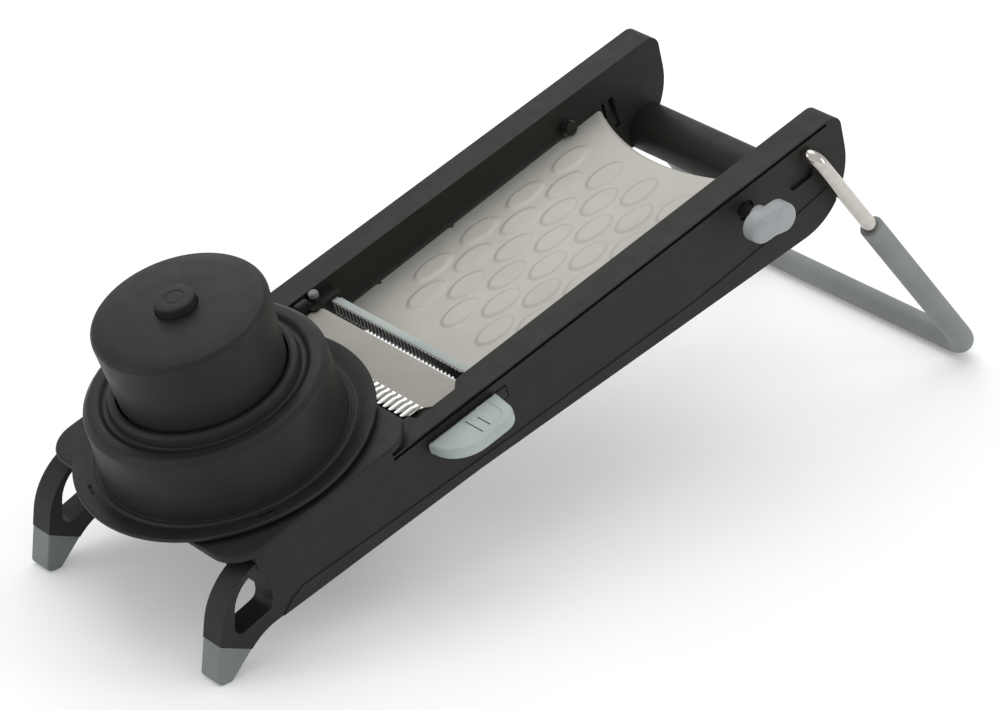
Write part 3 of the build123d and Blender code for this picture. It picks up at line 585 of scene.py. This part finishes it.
def make_button():
    """Low round button with a plain ringed dimple."""
    outline = [(0, 79.5), (11.1, 79.5), (11.1, 81.2), (BUTTON_R, 81.2), (BUTTON_R, 89.9), (5.2, 90.0),
               (4.6, 89.7), (3.8, 89.7), (3.3, 89.9), (0, 89.8)]
    radii = [0, 0.2, 0.2, 0.2, 0.9, 0.5, 0.2, 0.2, 0.4, 0]
    profile = arc_profile(outline, radii, 4)
    shell = lathe(profile, 96)
    piece("eject_button_cap", shell, HAT_PLASTIC, "ejector", ["eject_button"], 40)


def make_spring():
    """Return coil under the button, at its rest length, on a mesh of its own."""
    turns, height, radius, wire, foot = 5.0, 14.0, 8.0, 0.55, 64.8
    steps, sides = 160, 10
    shell = bmesh.new()
    rings = []
    for step in range(steps + 1):
        share = step / steps
        angle = 2 * math.pi * turns * share
        out = Vector((math.cos(angle), math.sin(angle), 0.0))
        centre = out * radius + Vector((CARRIAGE_U, 0.0, foot + height * share))
        ring = []
        for side in range(sides):
            turn = 2 * math.pi * side / sides
            rise = Vector((0, 0, wire * math.sin(turn)))
            ring.append(shell.verts.new(centre + out * wire * math.cos(turn) + rise))
        rings.append(ring)
    for first, second in zip(rings, rings[1:]):
        bridge(shell, first, second)
    shell.faces.new(rings[0])
    shell.faces.new(rings[-1])
    coil = piece("button_coil", shell, FASTENER_STEEL, "pusher", ["button_spring"], 60)
    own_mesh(coil)


# ------------------------------------------------------------------ feed plate
def plate_slope(u):
    """Height of the flat plate at u."""
    (u0, w0), (u1, w1) = PLATE_FRONT, PLATE_REAR
    return w0 + (w1 - w0) * (u - u0) / (u1 - u0)


OVAL_ROWS = 8
OVAL_FIRST_U = -186.4            # middle of the front row of ovals
OVAL_ROW_PITCH = 15.45
OVAL_PITCH = 25.0                # between ovals of one row
OVAL_SHIFT = 1.2                 # the pattern sits slightly to the left
OVAL_LONG = 12.0                 # half length
OVAL_WIDE = 6.2                  # half width
OVAL_HEIGHT = 0.75


def oval_height(u, v):
    """Raised ovals in staggered rows: flat-topped islands with a soft step round them."""
    row = round((u - OVAL_FIRST_U) / OVAL_ROW_PITCH)
    best = 0.0
    for index in (row - 1, row, row + 1):
        if not 0 <= index < OVAL_ROWS:
            continue
        middle = OVAL_FIRST_U + index * OVAL_ROW_PITCH
        in_row = 3 if index % 2 == 0 else 4
        for place in range(in_row):
            centre = OVAL_PITCH * (place - (in_row - 1) / 2)
            far = math.hypot((u - middle) / OVAL_LONG, (v - centre - OVAL_SHIFT) / OVAL_WIDE)
            gap = (1.0 - far) * OVAL_WIDE
            share = min(1.0, max(0.0, (gap + 0.2) / 1.35))
            step = share * share * (3 - 2 * share)
            dish = 0.10 * max(0.0, 1.0 - far)
            best = max(best, step * (1.0 - dish))
    return best * OVAL_HEIGHT


def plate_side(u):
    """Half width of the plate at u, with the small stepped jogs of its edges."""
    half, jog = PLATE_HALF, 1.3
    for middle in (-193.0, -145.0):
        if abs(u - middle) < jog:
            half -= jog
    return half


def plate_point(share, cross):
    """Upper and lower point of the sheet. share runs from front to rear, cross from -1 to 1 across it."""
    front = PLATE_FRONT[0]
    rear = PLATE_REAR[0] - PLATE_SAG * (1 - cross * cross)
    u = front + (rear - front) * share
    v = cross * plate_side(u)
    roll = max(0.0, 1.0 - (rear - u) / 2.4)
    ease = max(0.0, 1.0 - (u - front) / 1.2)
    top = plate_slope(u) - 1.6 * roll * roll - 0.35 * ease * ease + oval_height(u, v)
    low = top - SHEET * (1.0 - 0.45 * ease) - 0.5 * roll
    return (u, v, top), (u, v, low)


def make_plate():
    """Pressed feed plate: embossed sheet with a hollowed rear edge, a rolled rear lip and two ears."""
    columns, rows = 230, 150
    shell = bmesh.new()
    top, low = [], []
    for i in range(columns + 1):
        line_top, line_low = [], []
        for j in range(rows + 1):
            upper, lower = plate_point(i / columns, 2 * j / rows - 1)
            line_top.append(shell.verts.new(upper))
            line_low.append(shell.verts.new(lower))
        top.append(line_top)
        low.append(line_low)
    for i in range(columns):
        for j in range(rows):
            shell.faces.new((top[i][j], top[i + 1][j], top[i + 1][j + 1], top[i][j + 1]))
            shell.faces.new((low[i][j], low[i][j + 1], low[i + 1][j + 1], low[i + 1][j]))
    for i in range(columns):
        shell.faces.new((top[i][0], low[i][0], low[i + 1][0], top[i + 1][0]))
        shell.faces.new((top[i][rows], top[i + 1][rows], low[i + 1][rows], low[i][rows]))
    for j in range(rows):
        shell.faces.new((top[0][j], top[0][j + 1], low[0][j + 1], low[0][j]))
        shell.faces.new((top[columns][j], low[columns][j], low[columns][j + 1], top[columns][j + 1]))
    piece("feed_plate_sheet", shell, PLATE_STEEL, "feed", ["feed_plate"], 40)
    make_rear_lip()
    for side in (-1, 1):
        make_ear(side)


def make_rear_lip():
    """Turned-down flange under the rear edge."""
    steps, reach, thick, bottom = 64, PLATE_HALF - 3.0, SHEET, FLANGE_LOW
    shell = bmesh.new()
    rings = []
    for step in range(steps + 1):
        v = reach * (2 * step / steps - 1)
        rear = PLATE_REAR[0] - PLATE_SAG * (1 - (v / PLATE_HALF) ** 2)
        top = plate_slope(rear) - 1.4
        section = [(rear, top), (rear - 0.3, bottom + 0.5), (rear - 0.7, bottom)]
        section += [(rear - thick, bottom + 0.4), (rear - thick, top)]
        rings.append([shell.verts.new((u, v, w)) for u, w in section])
    for first, second in zip(rings, rings[1:]):
        bridge(shell, first, second)
    shell.faces.new(rings[0])
    shell.faces.new(rings[-1])
    piece("feed_plate_flange", shell, PLATE_STEEL, "feed", (), 40)


def make_ear(side):
    """Upturned hinge ear with the pin's hole."""
    outline = [(-68.5, -18.5), (-59.5, -18.3), (-60.2, -9.7), (-67.8, -9.7)]
    loop = fillet_path(outline, [0.3, 0.3, 3.6, 3.6], 8)
    hole_r, thick = 2.25, 1.2
    shell = bmesh.new()
    rims = []
    for v in (side * (PLATE_HALF - thick), side * PLATE_HALF):
        outer = [shell.verts.new((p.x, v, p.y)) for p in loop]
        inner = []
        for p in loop:
            away = (p - Vector(HINGE)).normalized() * hole_r
            inner.append(shell.verts.new((HINGE[0] + away.x, v, HINGE[1] + away.y)))
        bridge(shell, outer, inner)
        rims.append((outer, inner))
    bridge(shell, rims[0][0], rims[1][0])
    bridge(shell, rims[0][1], rims[1][1])
    name = "feed_plate_ear_left" if side > 0 else "feed_plate_ear_right"
    piece(name, shell, COMB_STEEL, "feed", (), 40)


# ------------------------------------------------------------------ blade
def blade_stations():
    """Places along u where the sheet has a row of points, from its rear edge to the tips of its waves."""
    steps = 14
    tip = BLADE_FRONT - BLADE_TIPS
    stations = [BLADE_REAR, BLADE_REAR - 1.0, BLADE_REAR - BLADE_HONED, BLADE_REAR - BLADE_CORNER]
    stations += [BLADE_REAR - BLADE_CORNER - k * 2.6 for k in range(1, 6)]
    stations += [BLADE_FRONT + BLADE_CORNER, BLADE_FRONT + 1.5, BLADE_FRONT]
    stations += [BLADE_FRONT - tip * k / steps for k in range(1, steps + 1)]
    return stations


def blade_half(u):
    """Half width at u: chamfered at the corners, narrower along the waves."""
    if u < BLADE_FRONT:
        return WAVE_HALF
    near = min(BLADE_REAR - u, u - BLADE_FRONT)
    return BLADE_HALF - max(0.0, BLADE_CORNER - max(0.0, near))


def blade_point(u, v):
    """Upper and lower point of the sheet: flat, then swelling into waves that are scalloped and thinner."""
    phase = 2 * math.pi * v / WAVE_PITCH
    depth = max(0.0, BLADE_FRONT - u) / (BLADE_FRONT - BLADE_TIPS)
    swell = min(1.0, depth * 3.0)
    wave = 0.75 * swell * math.cos(phase)
    scallop = 3.2 * depth * (0.5 - 0.5 * math.cos(phase)) ** 2
    honed = max(0.0, 1.0 - (BLADE_REAR - u) / BLADE_HONED)
    thin = max(0.12, 1.0 - 0.85 * depth) * (1.0 - 0.8 * honed)
    base = BLADE_TOP - BLADE_THICK + 0.5 * swell + wave * 0.9
    top = base + BLADE_THICK * (1.0 - 0.25 * honed)
    low = base + BLADE_THICK * (1.0 - thin)
    return (u + scallop, BLADE_MID + v, top), (u + scallop, BLADE_MID + v, low)


def make_blade():
    """Bead-blasted blade: chamfered ends, honed straight edge behind, pressed waves with bright crests."""
    rows = CRINKLES * 12
    shell = bmesh.new()
    stations = blade_stations()
    top, low = [], []
    for u in stations:
        line_top, line_low = [], []
        for j in range(rows + 1):
            upper, lower = blade_point(u, blade_half(u) * (2 * j / rows - 1))
            line_top.append(shell.verts.new(upper))
            line_low.append(shell.verts.new(lower))
        top.append(line_top)
        low.append(line_low)
    last = len(stations) - 1
    for i in range(last):
        in_waves = stations[i + 1] < BLADE_FRONT - 0.5
        for j in range(rows):
            crest = math.cos(2 * math.pi * WAVE_HALF * (2 * (j + 0.5) / rows - 1) / WAVE_PITCH)
            ground = in_waves and crest > -0.25
            upper = shell.faces.new((top[i][j], top[i][j + 1], top[i + 1][j + 1], top[i + 1][j]))
            under = shell.faces.new((low[i][j], low[i + 1][j], low[i + 1][j + 1], low[i][j + 1]))
            upper.material_index = under.material_index = 1 if ground else 0
    for i in range(last):
        for j, flip in ((0, False), (rows, True)):
            corners = (top[i][j], low[i][j], low[i + 1][j], top[i + 1][j])
            shell.faces.new(corners[::-1] if flip else corners)
    for j in range(rows):
        shell.faces.new((top[0][j], low[0][j], low[0][j + 1], top[0][j + 1]))
        shell.faces.new((top[last][j], top[last][j + 1], low[last][j + 1], low[last][j]))
    piece("blade_sheet", shell, [BLADE_STEEL, EDGE_STEEL], "frame", ["blade"], 50)


# ------------------------------------------------------------------ julienne cartridge
def make_comb():
    """Row of small upright cutters on a thin strip, each ground to an edge at the front."""
    front, back = BAR_U[0] - TINE_REACH, BAR_U[0]
    half = (TINES - 1) * TINE_PITCH / 2
    low, high = BAR_W[0] - 0.5, BAR_W[1] + 0.2
    shell = bmesh.new()
    box_into(shell, (back - 0.7, back - 0.02), (-half - 0.8, half + 0.8), (low, high - 0.5))
    for index in range(TINES):
        v = -half + index * TINE_PITCH
        corners = [(back - 0.6, v - 0.42), (back - 0.6, v + 0.42), (front + 0.5, v + 0.3), (front, v),
                   (front + 0.5, v - 0.3)]
        bottom = [shell.verts.new((u, y, low)) for u, y in corners]
        upper = [shell.verts.new((u + (0.5 if k > 1 else 0.0), y, high)) for k, (u, y) in enumerate(corners)]
        bridge(shell, bottom, upper)
        shell.faces.new(bottom)
        shell.faces.new(upper)
    piece("julienne_cutters", shell, COMB_STEEL, "julienne", ["julienne_comb"], 20)


def make_bar():
    """Square bar across the throat, with the tongue on its far end."""
    shell = bmesh.new()
    verts = box_into(shell, BAR_U, (BAR_START, BAR_END), BAR_W)
    soften_box(shell, verts, 0.3, 2)
    tongue_u = (BAR_U[0] + 0.2, BAR_U[1] - 0.2)
    tongue_w = (BAR_W[0] + 1.6, BAR_W[1] - 1.0)
    box_into(shell, tongue_u, (BAR_END - 0.5, BAR_END + TONGUE), tongue_w)
    piece("julienne_bar_square", shell, PULL_PLASTIC, "julienne", ["julienne_bar"], 30)


def make_pull():
    """D-shaped pull with a dark foot in the rail's slot, a raised bow and two short dark lines."""
    corners = [(-267.6, PULL_NEAR), (-265.8, PULL_FAR), (-228.6, PULL_FAR), (-225.4, PULL_NEAR)]
    loop = fillet_path(corners, [1.2, 17.0, 10.0, 1.0], 12)
    shell = rounded_slab(loop, PULL_LOW, PULL_TOP, 1.0, 1.5, lambda p, h: (p.x, p.y, h), 5)
    piece("julienne_pull", shell, PULL_PLASTIC, "julienne", ["julienne_handle"], 30)
    shoe = bmesh.new()
    verts = box_into(shoe, (SHOE_FRONT, BAR_U[1]), (PULL_NEAR - 0.05, PULL_NEAR + SHOE_DEEP), BAR_W)
    soften_box(shoe, verts, 0.5, 3)
    piece("julienne_shoe", shoe, CHARCOAL, "julienne", (), 30)
    make_bow()
    half_wide = 0.28
    for index, (u, reach) in enumerate(((-247.2, 12.5), (-242.0, 9.0))):
        line = bmesh.new()
        start = PULL_NEAR - 3.6 - index * 2.8
        mark_u, mark_w = (u - half_wide, u + half_wide), (PULL_TOP - 0.1, PULL_TOP + 0.06)
        verts = box_into(line, mark_u, (start - reach, start), mark_w)
        soften_box(line, verts, 0.05, 1)
        piece(f"julienne_mark_{index + 1}", line, CHARCOAL, "julienne", (), 30)


def make_bow():
    """Thin raised bow on the pull's top, following its outer rim."""
    bends = [(-238.5, PULL_NEAR - 1.4), (-231.4, PULL_NEAR - 2.0), (-232.6, -87.8), (-239.0, -88.6)]
    rim = fillet_path(bends, [0, 3.6, 5.5, 0], 10, closed=False)
    wide, high = 0.45, 0.35
    shell = bmesh.new()
    rings = []
    for index, point in enumerate(rim):
        before, after = rim[max(0, index - 1)], rim[min(len(rim) - 1, index + 1)]
        along = (after - before).normalized()
        side = Vector((-along.y, along.x)) * wide
        taper = min(1.0, index / 3.0, (len(rim) - 1 - index) / 3.0)
        section = [(side, -0.1), (side * 0.6, high * taper * 0.8), (side * 0.0, high * taper),
                   (side * -0.6, high * taper * 0.8), (side * -1.0, -0.1)]
        rings.append([shell.verts.new((point.x + s.x, point.y + s.y, PULL_TOP + h)) for s, h in section])
    for first, second in zip(rings, rings[1:]):
        bridge(shell, first, second)
    shell.faces.new(rings[0])
    shell.faces.new(rings[-1])
    piece("julienne_bow", shell, PULL_PLASTIC, "julienne", (), 60)


# ------------------------------------------------------------------ wing knob
def knob_outline(angle):
    """Distance from the knob's axis to its rim: a long oval with a soft waist."""
    middle = KNOB_REACH - KNOB_LOBE
    along, across = abs(math.cos(angle)), abs(math.sin(angle))
    waist = 0.5 * math.exp(-((along / 0.5) ** 2))
    if along * KNOB_LOBE < middle * across:
        return KNOB_LOBE / across - waist
    return middle * along + math.sqrt(KNOB_LOBE ** 2 - (middle * across) ** 2) - waist


def make_knob():
    """Long oval knob, thick and crowned, with a soft winding ridge across its face."""
    around, face_rings, bevel, back_bevel, arc, crown_high = 120, 14, 2.8, 1.0, 6, 0.6
    rim_depth = KNOB_THICK - crown_high
    shell = bmesh.new()

    def place(far, angle, depth):
        u, w = far * math.cos(angle), far * math.sin(angle)
        turned_u = u * math.cos(KNOB_ANGLE) - w * math.sin(KNOB_ANGLE)
        turned_w = u * math.sin(KNOB_ANGLE) + w * math.cos(KNOB_ANGLE)
        return shell.verts.new((HINGE[0] + turned_u, -KNOB_V - depth, HINGE[1] + turned_w))

    def ridge(far, angle):
        u, w = far * math.cos(angle), far * math.sin(angle)
        winding = w + 2.2 * math.sin(u / KNOB_REACH * 2.4)
        fade = max(0.0, 1.0 - (far / knob_outline(angle)) ** 4)
        return 0.55 * fade * math.tanh(winding / 1.4)

    levels = []
    for step in range(arc + 1):
        turn = math.pi / 2 * step / arc
        levels.append((back_bevel * (1 - math.sin(turn)), back_bevel * (1 - math.cos(turn))))
    for step in range(arc + 1):
        turn = math.pi / 2 * step / arc
        levels.append((bevel * (1 - math.cos(turn)), rim_depth - bevel * (1 - math.sin(turn))))
    angles = [2 * math.pi * step / around for step in range(around)]
    rings = []
    for inset, depth in levels:
        rings.append([place(knob_outline(angle) - inset, angle, depth) for angle in angles])
    for index in range(1, face_rings):
        share = 1 - index / face_rings
        crown = crown_high * (1 - share * share)
        ridge_share = min(1.0, 4 * (1 - share))
        ring = []
        for angle in angles:
            far = (knob_outline(angle) - bevel) * share
            ring.append(place(far, angle, rim_depth + crown + ridge(far, angle) * ridge_share))
        rings.append(ring)
    for first, second in zip(rings, rings[1:]):
        bridge(shell, first, second)
    shell.faces.new(rings[0])
    shell.faces.new(rings[-1])
    piece("wing_knob_grip", shell, KNOB_PLASTIC, "knob", ["wing_knob"], 60)
    make_knob_collar()


def make_knob_collar():
    """Turned neck behind the knob, round its spindle."""
    sides = 48
    turns = [2 * math.pi * step / sides for step in range(sides)]
    collar = bmesh.new()
    loops = []
    for radius, back in ((3.6, 5.0), (4.9, 5.0), (5.3, 4.6), (5.4, -0.4), (3.6, -0.4)):
        loop = []
        for turn in turns:
            u, w = HINGE[0] + radius * math.cos(turn), HINGE[1] + radius * math.sin(turn)
            loop.append(collar.verts.new((u, -KNOB_V + back, w)))
        loops.append(loop)
    for index in range(len(loops)):
        bridge(collar, loops[index], loops[(index + 1) % len(loops)])
    piece("wing_knob_collar", collar, KNOB_PLASTIC, "knob", (), 40)


# ------------------------------------------------------------------ folding stand
def stand_foot():
    """Middle of the bottom bar, placed so that its sleeve rests on the floor."""
    floor = TOE[0] * math.sin(TILT) + TOE[1] * math.cos(TILT)
    drop = STAND_LEAN[0] * math.sin(TILT) + STAND_LEAN[1] * math.cos(TILT)
    start = PIVOT[0] * math.sin(TILT) + PIVOT[1] * math.cos(TILT)
    share = (floor + SLEEVE_R - start) / drop
    return PIVOT[0] + share * STAND_LEAN[0], PIVOT[1] + share * STAND_LEAN[1]


def sweep(path, rings_at, sides=28):
    """Sweeps circles along a path; rings_at gives (path index, shift along the path, radius) in order."""
    shell = bmesh.new()
    tangents = []
    for index in range(len(path)):
        before, after = path[max(0, index - 1)], path[min(len(path) - 1, index + 1)]
        tangents.append((after - before).normalized())
    normal = tangents[0].orthogonal().normalized()
    frames = []
    for tangent in tangents:
        normal = (normal - tangent * normal.dot(tangent)).normalized()
        frames.append((tangent, normal, tangent.cross(normal)))
    rings = []
    for index, shift, radius in rings_at:
        tangent, side, up = frames[index]
        centre = path[index] + tangent * shift
        ring = []
        for step in range(sides):
            angle = 2 * math.pi * step / sides
            ring.append(shell.verts.new(centre + (side * math.cos(angle) + up * math.sin(angle)) * radius))
        rings.append(ring)
    for first, second in zip(rings, rings[1:]):
        bridge(shell, first, second)
    return shell, rings


def make_stand():
    """Bent wire with two pivot ends, and the soft sleeve on its legs and bottom bar."""
    u, w = stand_foot()
    inner, pivot_bend = 59.3, 4.6
    points = [(PIVOT[0], -inner, PIVOT[1]), (PIVOT[0], -STAND_V, PIVOT[1]), (u, -STAND_V, w),
              (u, STAND_V, w), (PIVOT[0], STAND_V, PIVOT[1]), (PIVOT[0], inner, PIVOT[1])]
    path = fillet_path(points, [0, pivot_bend, STAND_BEND, STAND_BEND, pivot_bend, 0], 10, closed=False)
    last = len(path) - 1
    plan = [(0, 0.0, WIRE_R - 0.4), (0, 0.3, WIRE_R)]
    plan += [(index, 0.0, WIRE_R) for index in range(1, last)]
    plan += [(last, -0.3, WIRE_R), (last, 0.0, WIRE_R - 0.4)]
    shell, rings = sweep(path, plan)
    shell.faces.new(rings[0])
    shell.faces.new(rings[-1])
    piece("stand_wire_bent", shell, WIRE_CHROME, "stand", ["stand_wire"], 60)

    reach = math.hypot(u - PIVOT[0], w - PIVOT[1])
    share = SLEEVE_START / reach
    top_u, top_w = PIVOT[0] + share * (u - PIVOT[0]), PIVOT[1] + share * (w - PIVOT[1])
    points = [(top_u, -STAND_V, top_w), (u, -STAND_V, w), (u, STAND_V, w), (top_u, STAND_V, top_w)]
    path = fillet_path(points, [0, STAND_BEND, STAND_BEND, 0], 10, closed=False)
    last = len(path) - 1
    plan = [(0, 0.0, WIRE_R + 0.03), (0, 0.0, SLEEVE_R - 0.7), (0, 0.2, SLEEVE_R - 0.25), (0, 0.7, SLEEVE_R)]
    plan += [(index, 0.0, SLEEVE_R) for index in range(1, last)]
    plan += [(last, -0.7, SLEEVE_R), (last, -0.2, SLEEVE_R - 0.25), (last, 0.0, SLEEVE_R - 0.7),
             (last, 0.0, WIRE_R + 0.03)]
    shell, rings = sweep(path, plan, 32)
    piece("stand_sleeve_soft", shell, SLEEVE_RUBBER, "stand", ["stand_sleeve"], 50)


# ------------------------------------------------------------------ build
def build_object():
    """Every piece: those with a shape of their own first, then those that keep the CAD's shape."""
    make_hood()
    make_cap()
    make_button()
    make_spring()
    make_plate()
    make_blade()
    make_bar()
    make_comb()
    make_pull()
    make_knob()
    make_stand()
    for node in ("rail_right", "rail_left"):
        softened(node, CHARCOAL, 0.45)
    for node in ("exit_plate", "blade_bridge", "rear_bar", "runner_right", "runner_left", "lock_lever"):
        softened(node, CHARCOAL, 0.3)
    for node in ("foot_right", "foot_left"):
        softened(node, FOOT_RUBBER, 0.45)
    softened("carriage_base", HAT_PLASTIC, 0.25)
    keep("lock_post", POST_PLASTIC)
    keep("food_chute", HAT_PLASTIC)
    keep("pin_plate", HAT_PLASTIC)
    keep("eject_stem", HAT_PLASTIC)
    keep("knob_spindle", CHARCOAL)
    keep("spindle_collar", CHARCOAL)
    keep("hinge_peg", CHARCOAL)
    for node in ("deck_screws", "hood_screws", "food_pins"):
        keep(node, FASTENER_STEEL)


build_object()


# ------------------------------------------------------------------ floor, light and camera
def make_floor():
    """Pale floor that glows faintly."""
    material, tree, shader = node_tree("studio_floor")
    patches = noise_node(tree, 3.0, 3.0)
    colour = ramp(tree, patches.outputs["Fac"], (0.86, 0.86, 0.86), (0.90, 0.90, 0.90))
    tree.links.new(colour.outputs["Color"], shader.inputs["Base Color"])
    shader.inputs["Roughness"].default_value = 0.9
    shader.inputs["Specular IOR Level"].default_value = 0.1
    shader.inputs["Emission Color"].default_value = (1.0, 1.0, 1.0, 1.0)
    shader.inputs["Emission Strength"].default_value = 0.16
    shell = bmesh.new()
    reach = 12.0
    corners = [(-reach, -reach), (reach, -reach), (reach, reach), (-reach, reach)]
    shell.faces.new([shell.verts.new((x, y, -0.0002)) for x, y in corners])
    mesh = bpy.data.meshes.new("studio_floor")
    shell.to_mesh(mesh)
    shell.free()
    mesh.materials.append(material)
    floor = bpy.data.objects.new("studio_floor", mesh)
    bpy.context.scene.collection.objects.link(floor)


def area_light(name, place, aim, size, power, tint=(1.0, 1.0, 1.0)):
    """Soft rectangular lamp at a place, turned to its aim."""
    lamp = bpy.data.lights.new(name, "AREA")
    lamp.shape = "RECTANGLE"
    lamp.size, lamp.size_y = size
    lamp.energy = power
    lamp.color = tint
    made = bpy.data.objects.new(name, lamp)
    bpy.context.scene.collection.objects.link(made)
    made.location = place
    made.rotation_mode = "QUATERNION"
    made.rotation_quaternion = (Vector(aim) - Vector(place)).to_track_quat("-Z", "Y")


def make_light():
    """Bright even surroundings, with four weak lamps that shape the faces."""
    world = bpy.data.worlds.new("studio")
    world.use_nodes = True
    background = world.node_tree.nodes["Background"]
    background.inputs["Color"].default_value = (0.98, 0.99, 1.0, 1.0)
    background.inputs["Strength"].default_value = 0.76
    bpy.context.scene.world = world
    area_light("overhead", (0.3, 0.5, 2.2), (0.0, 0.0, 0.0), (1.8, 1.8), 12.0)
    area_light("rear_wall", (0.9, 1.9, 1.6), (0.0, 0.0, 0.1), (1.4, 1.4), 6.0)
    area_light("left_wall", (-2.2, 0.9, 0.9), (-0.1, 0.0, 0.1), (0.9, 1.6), 8.0, (1.0, 0.98, 0.95))
    area_light("right_wall", (1.5, -1.9, 0.8), (0.0, 0.0, 0.1), (0.9, 1.4), 8.0, (0.97, 0.98, 1.0))


def make_camera():
    """Long lens from the front right corner, 28 degrees up."""
    azimuth, elevation, roll = math.radians(-40.144), math.radians(28.025), math.radians(-0.967)
    aim, distance, lens = Vector((-0.01196, -0.00027, 0.06013)), 1.9202, 145.09
    back = Vector((math.sin(azimuth) * math.cos(elevation), -math.cos(azimuth) * math.cos(elevation),
                   math.sin(elevation)))
    data = bpy.data.cameras.new("camera")
    data.lens = lens
    data.sensor_width = 36.0
    data.clip_start, data.clip_end = 0.05, 50.0
    made = bpy.data.objects.new("camera", data)
    bpy.context.scene.collection.objects.link(made)
    made.location = aim + back * distance
    made.rotation_mode = "QUATERNION"
    level = (-back).to_track_quat("-Z", "Y")
    made.rotation_quaternion = level @ Matrix.Rotation(roll, 3, "Z").to_quaternion()
    bpy.context.scene.camera = made


make_floor()
make_light()
make_camera()
bpy.context.scene.view_settings.view_transform = "Standard"
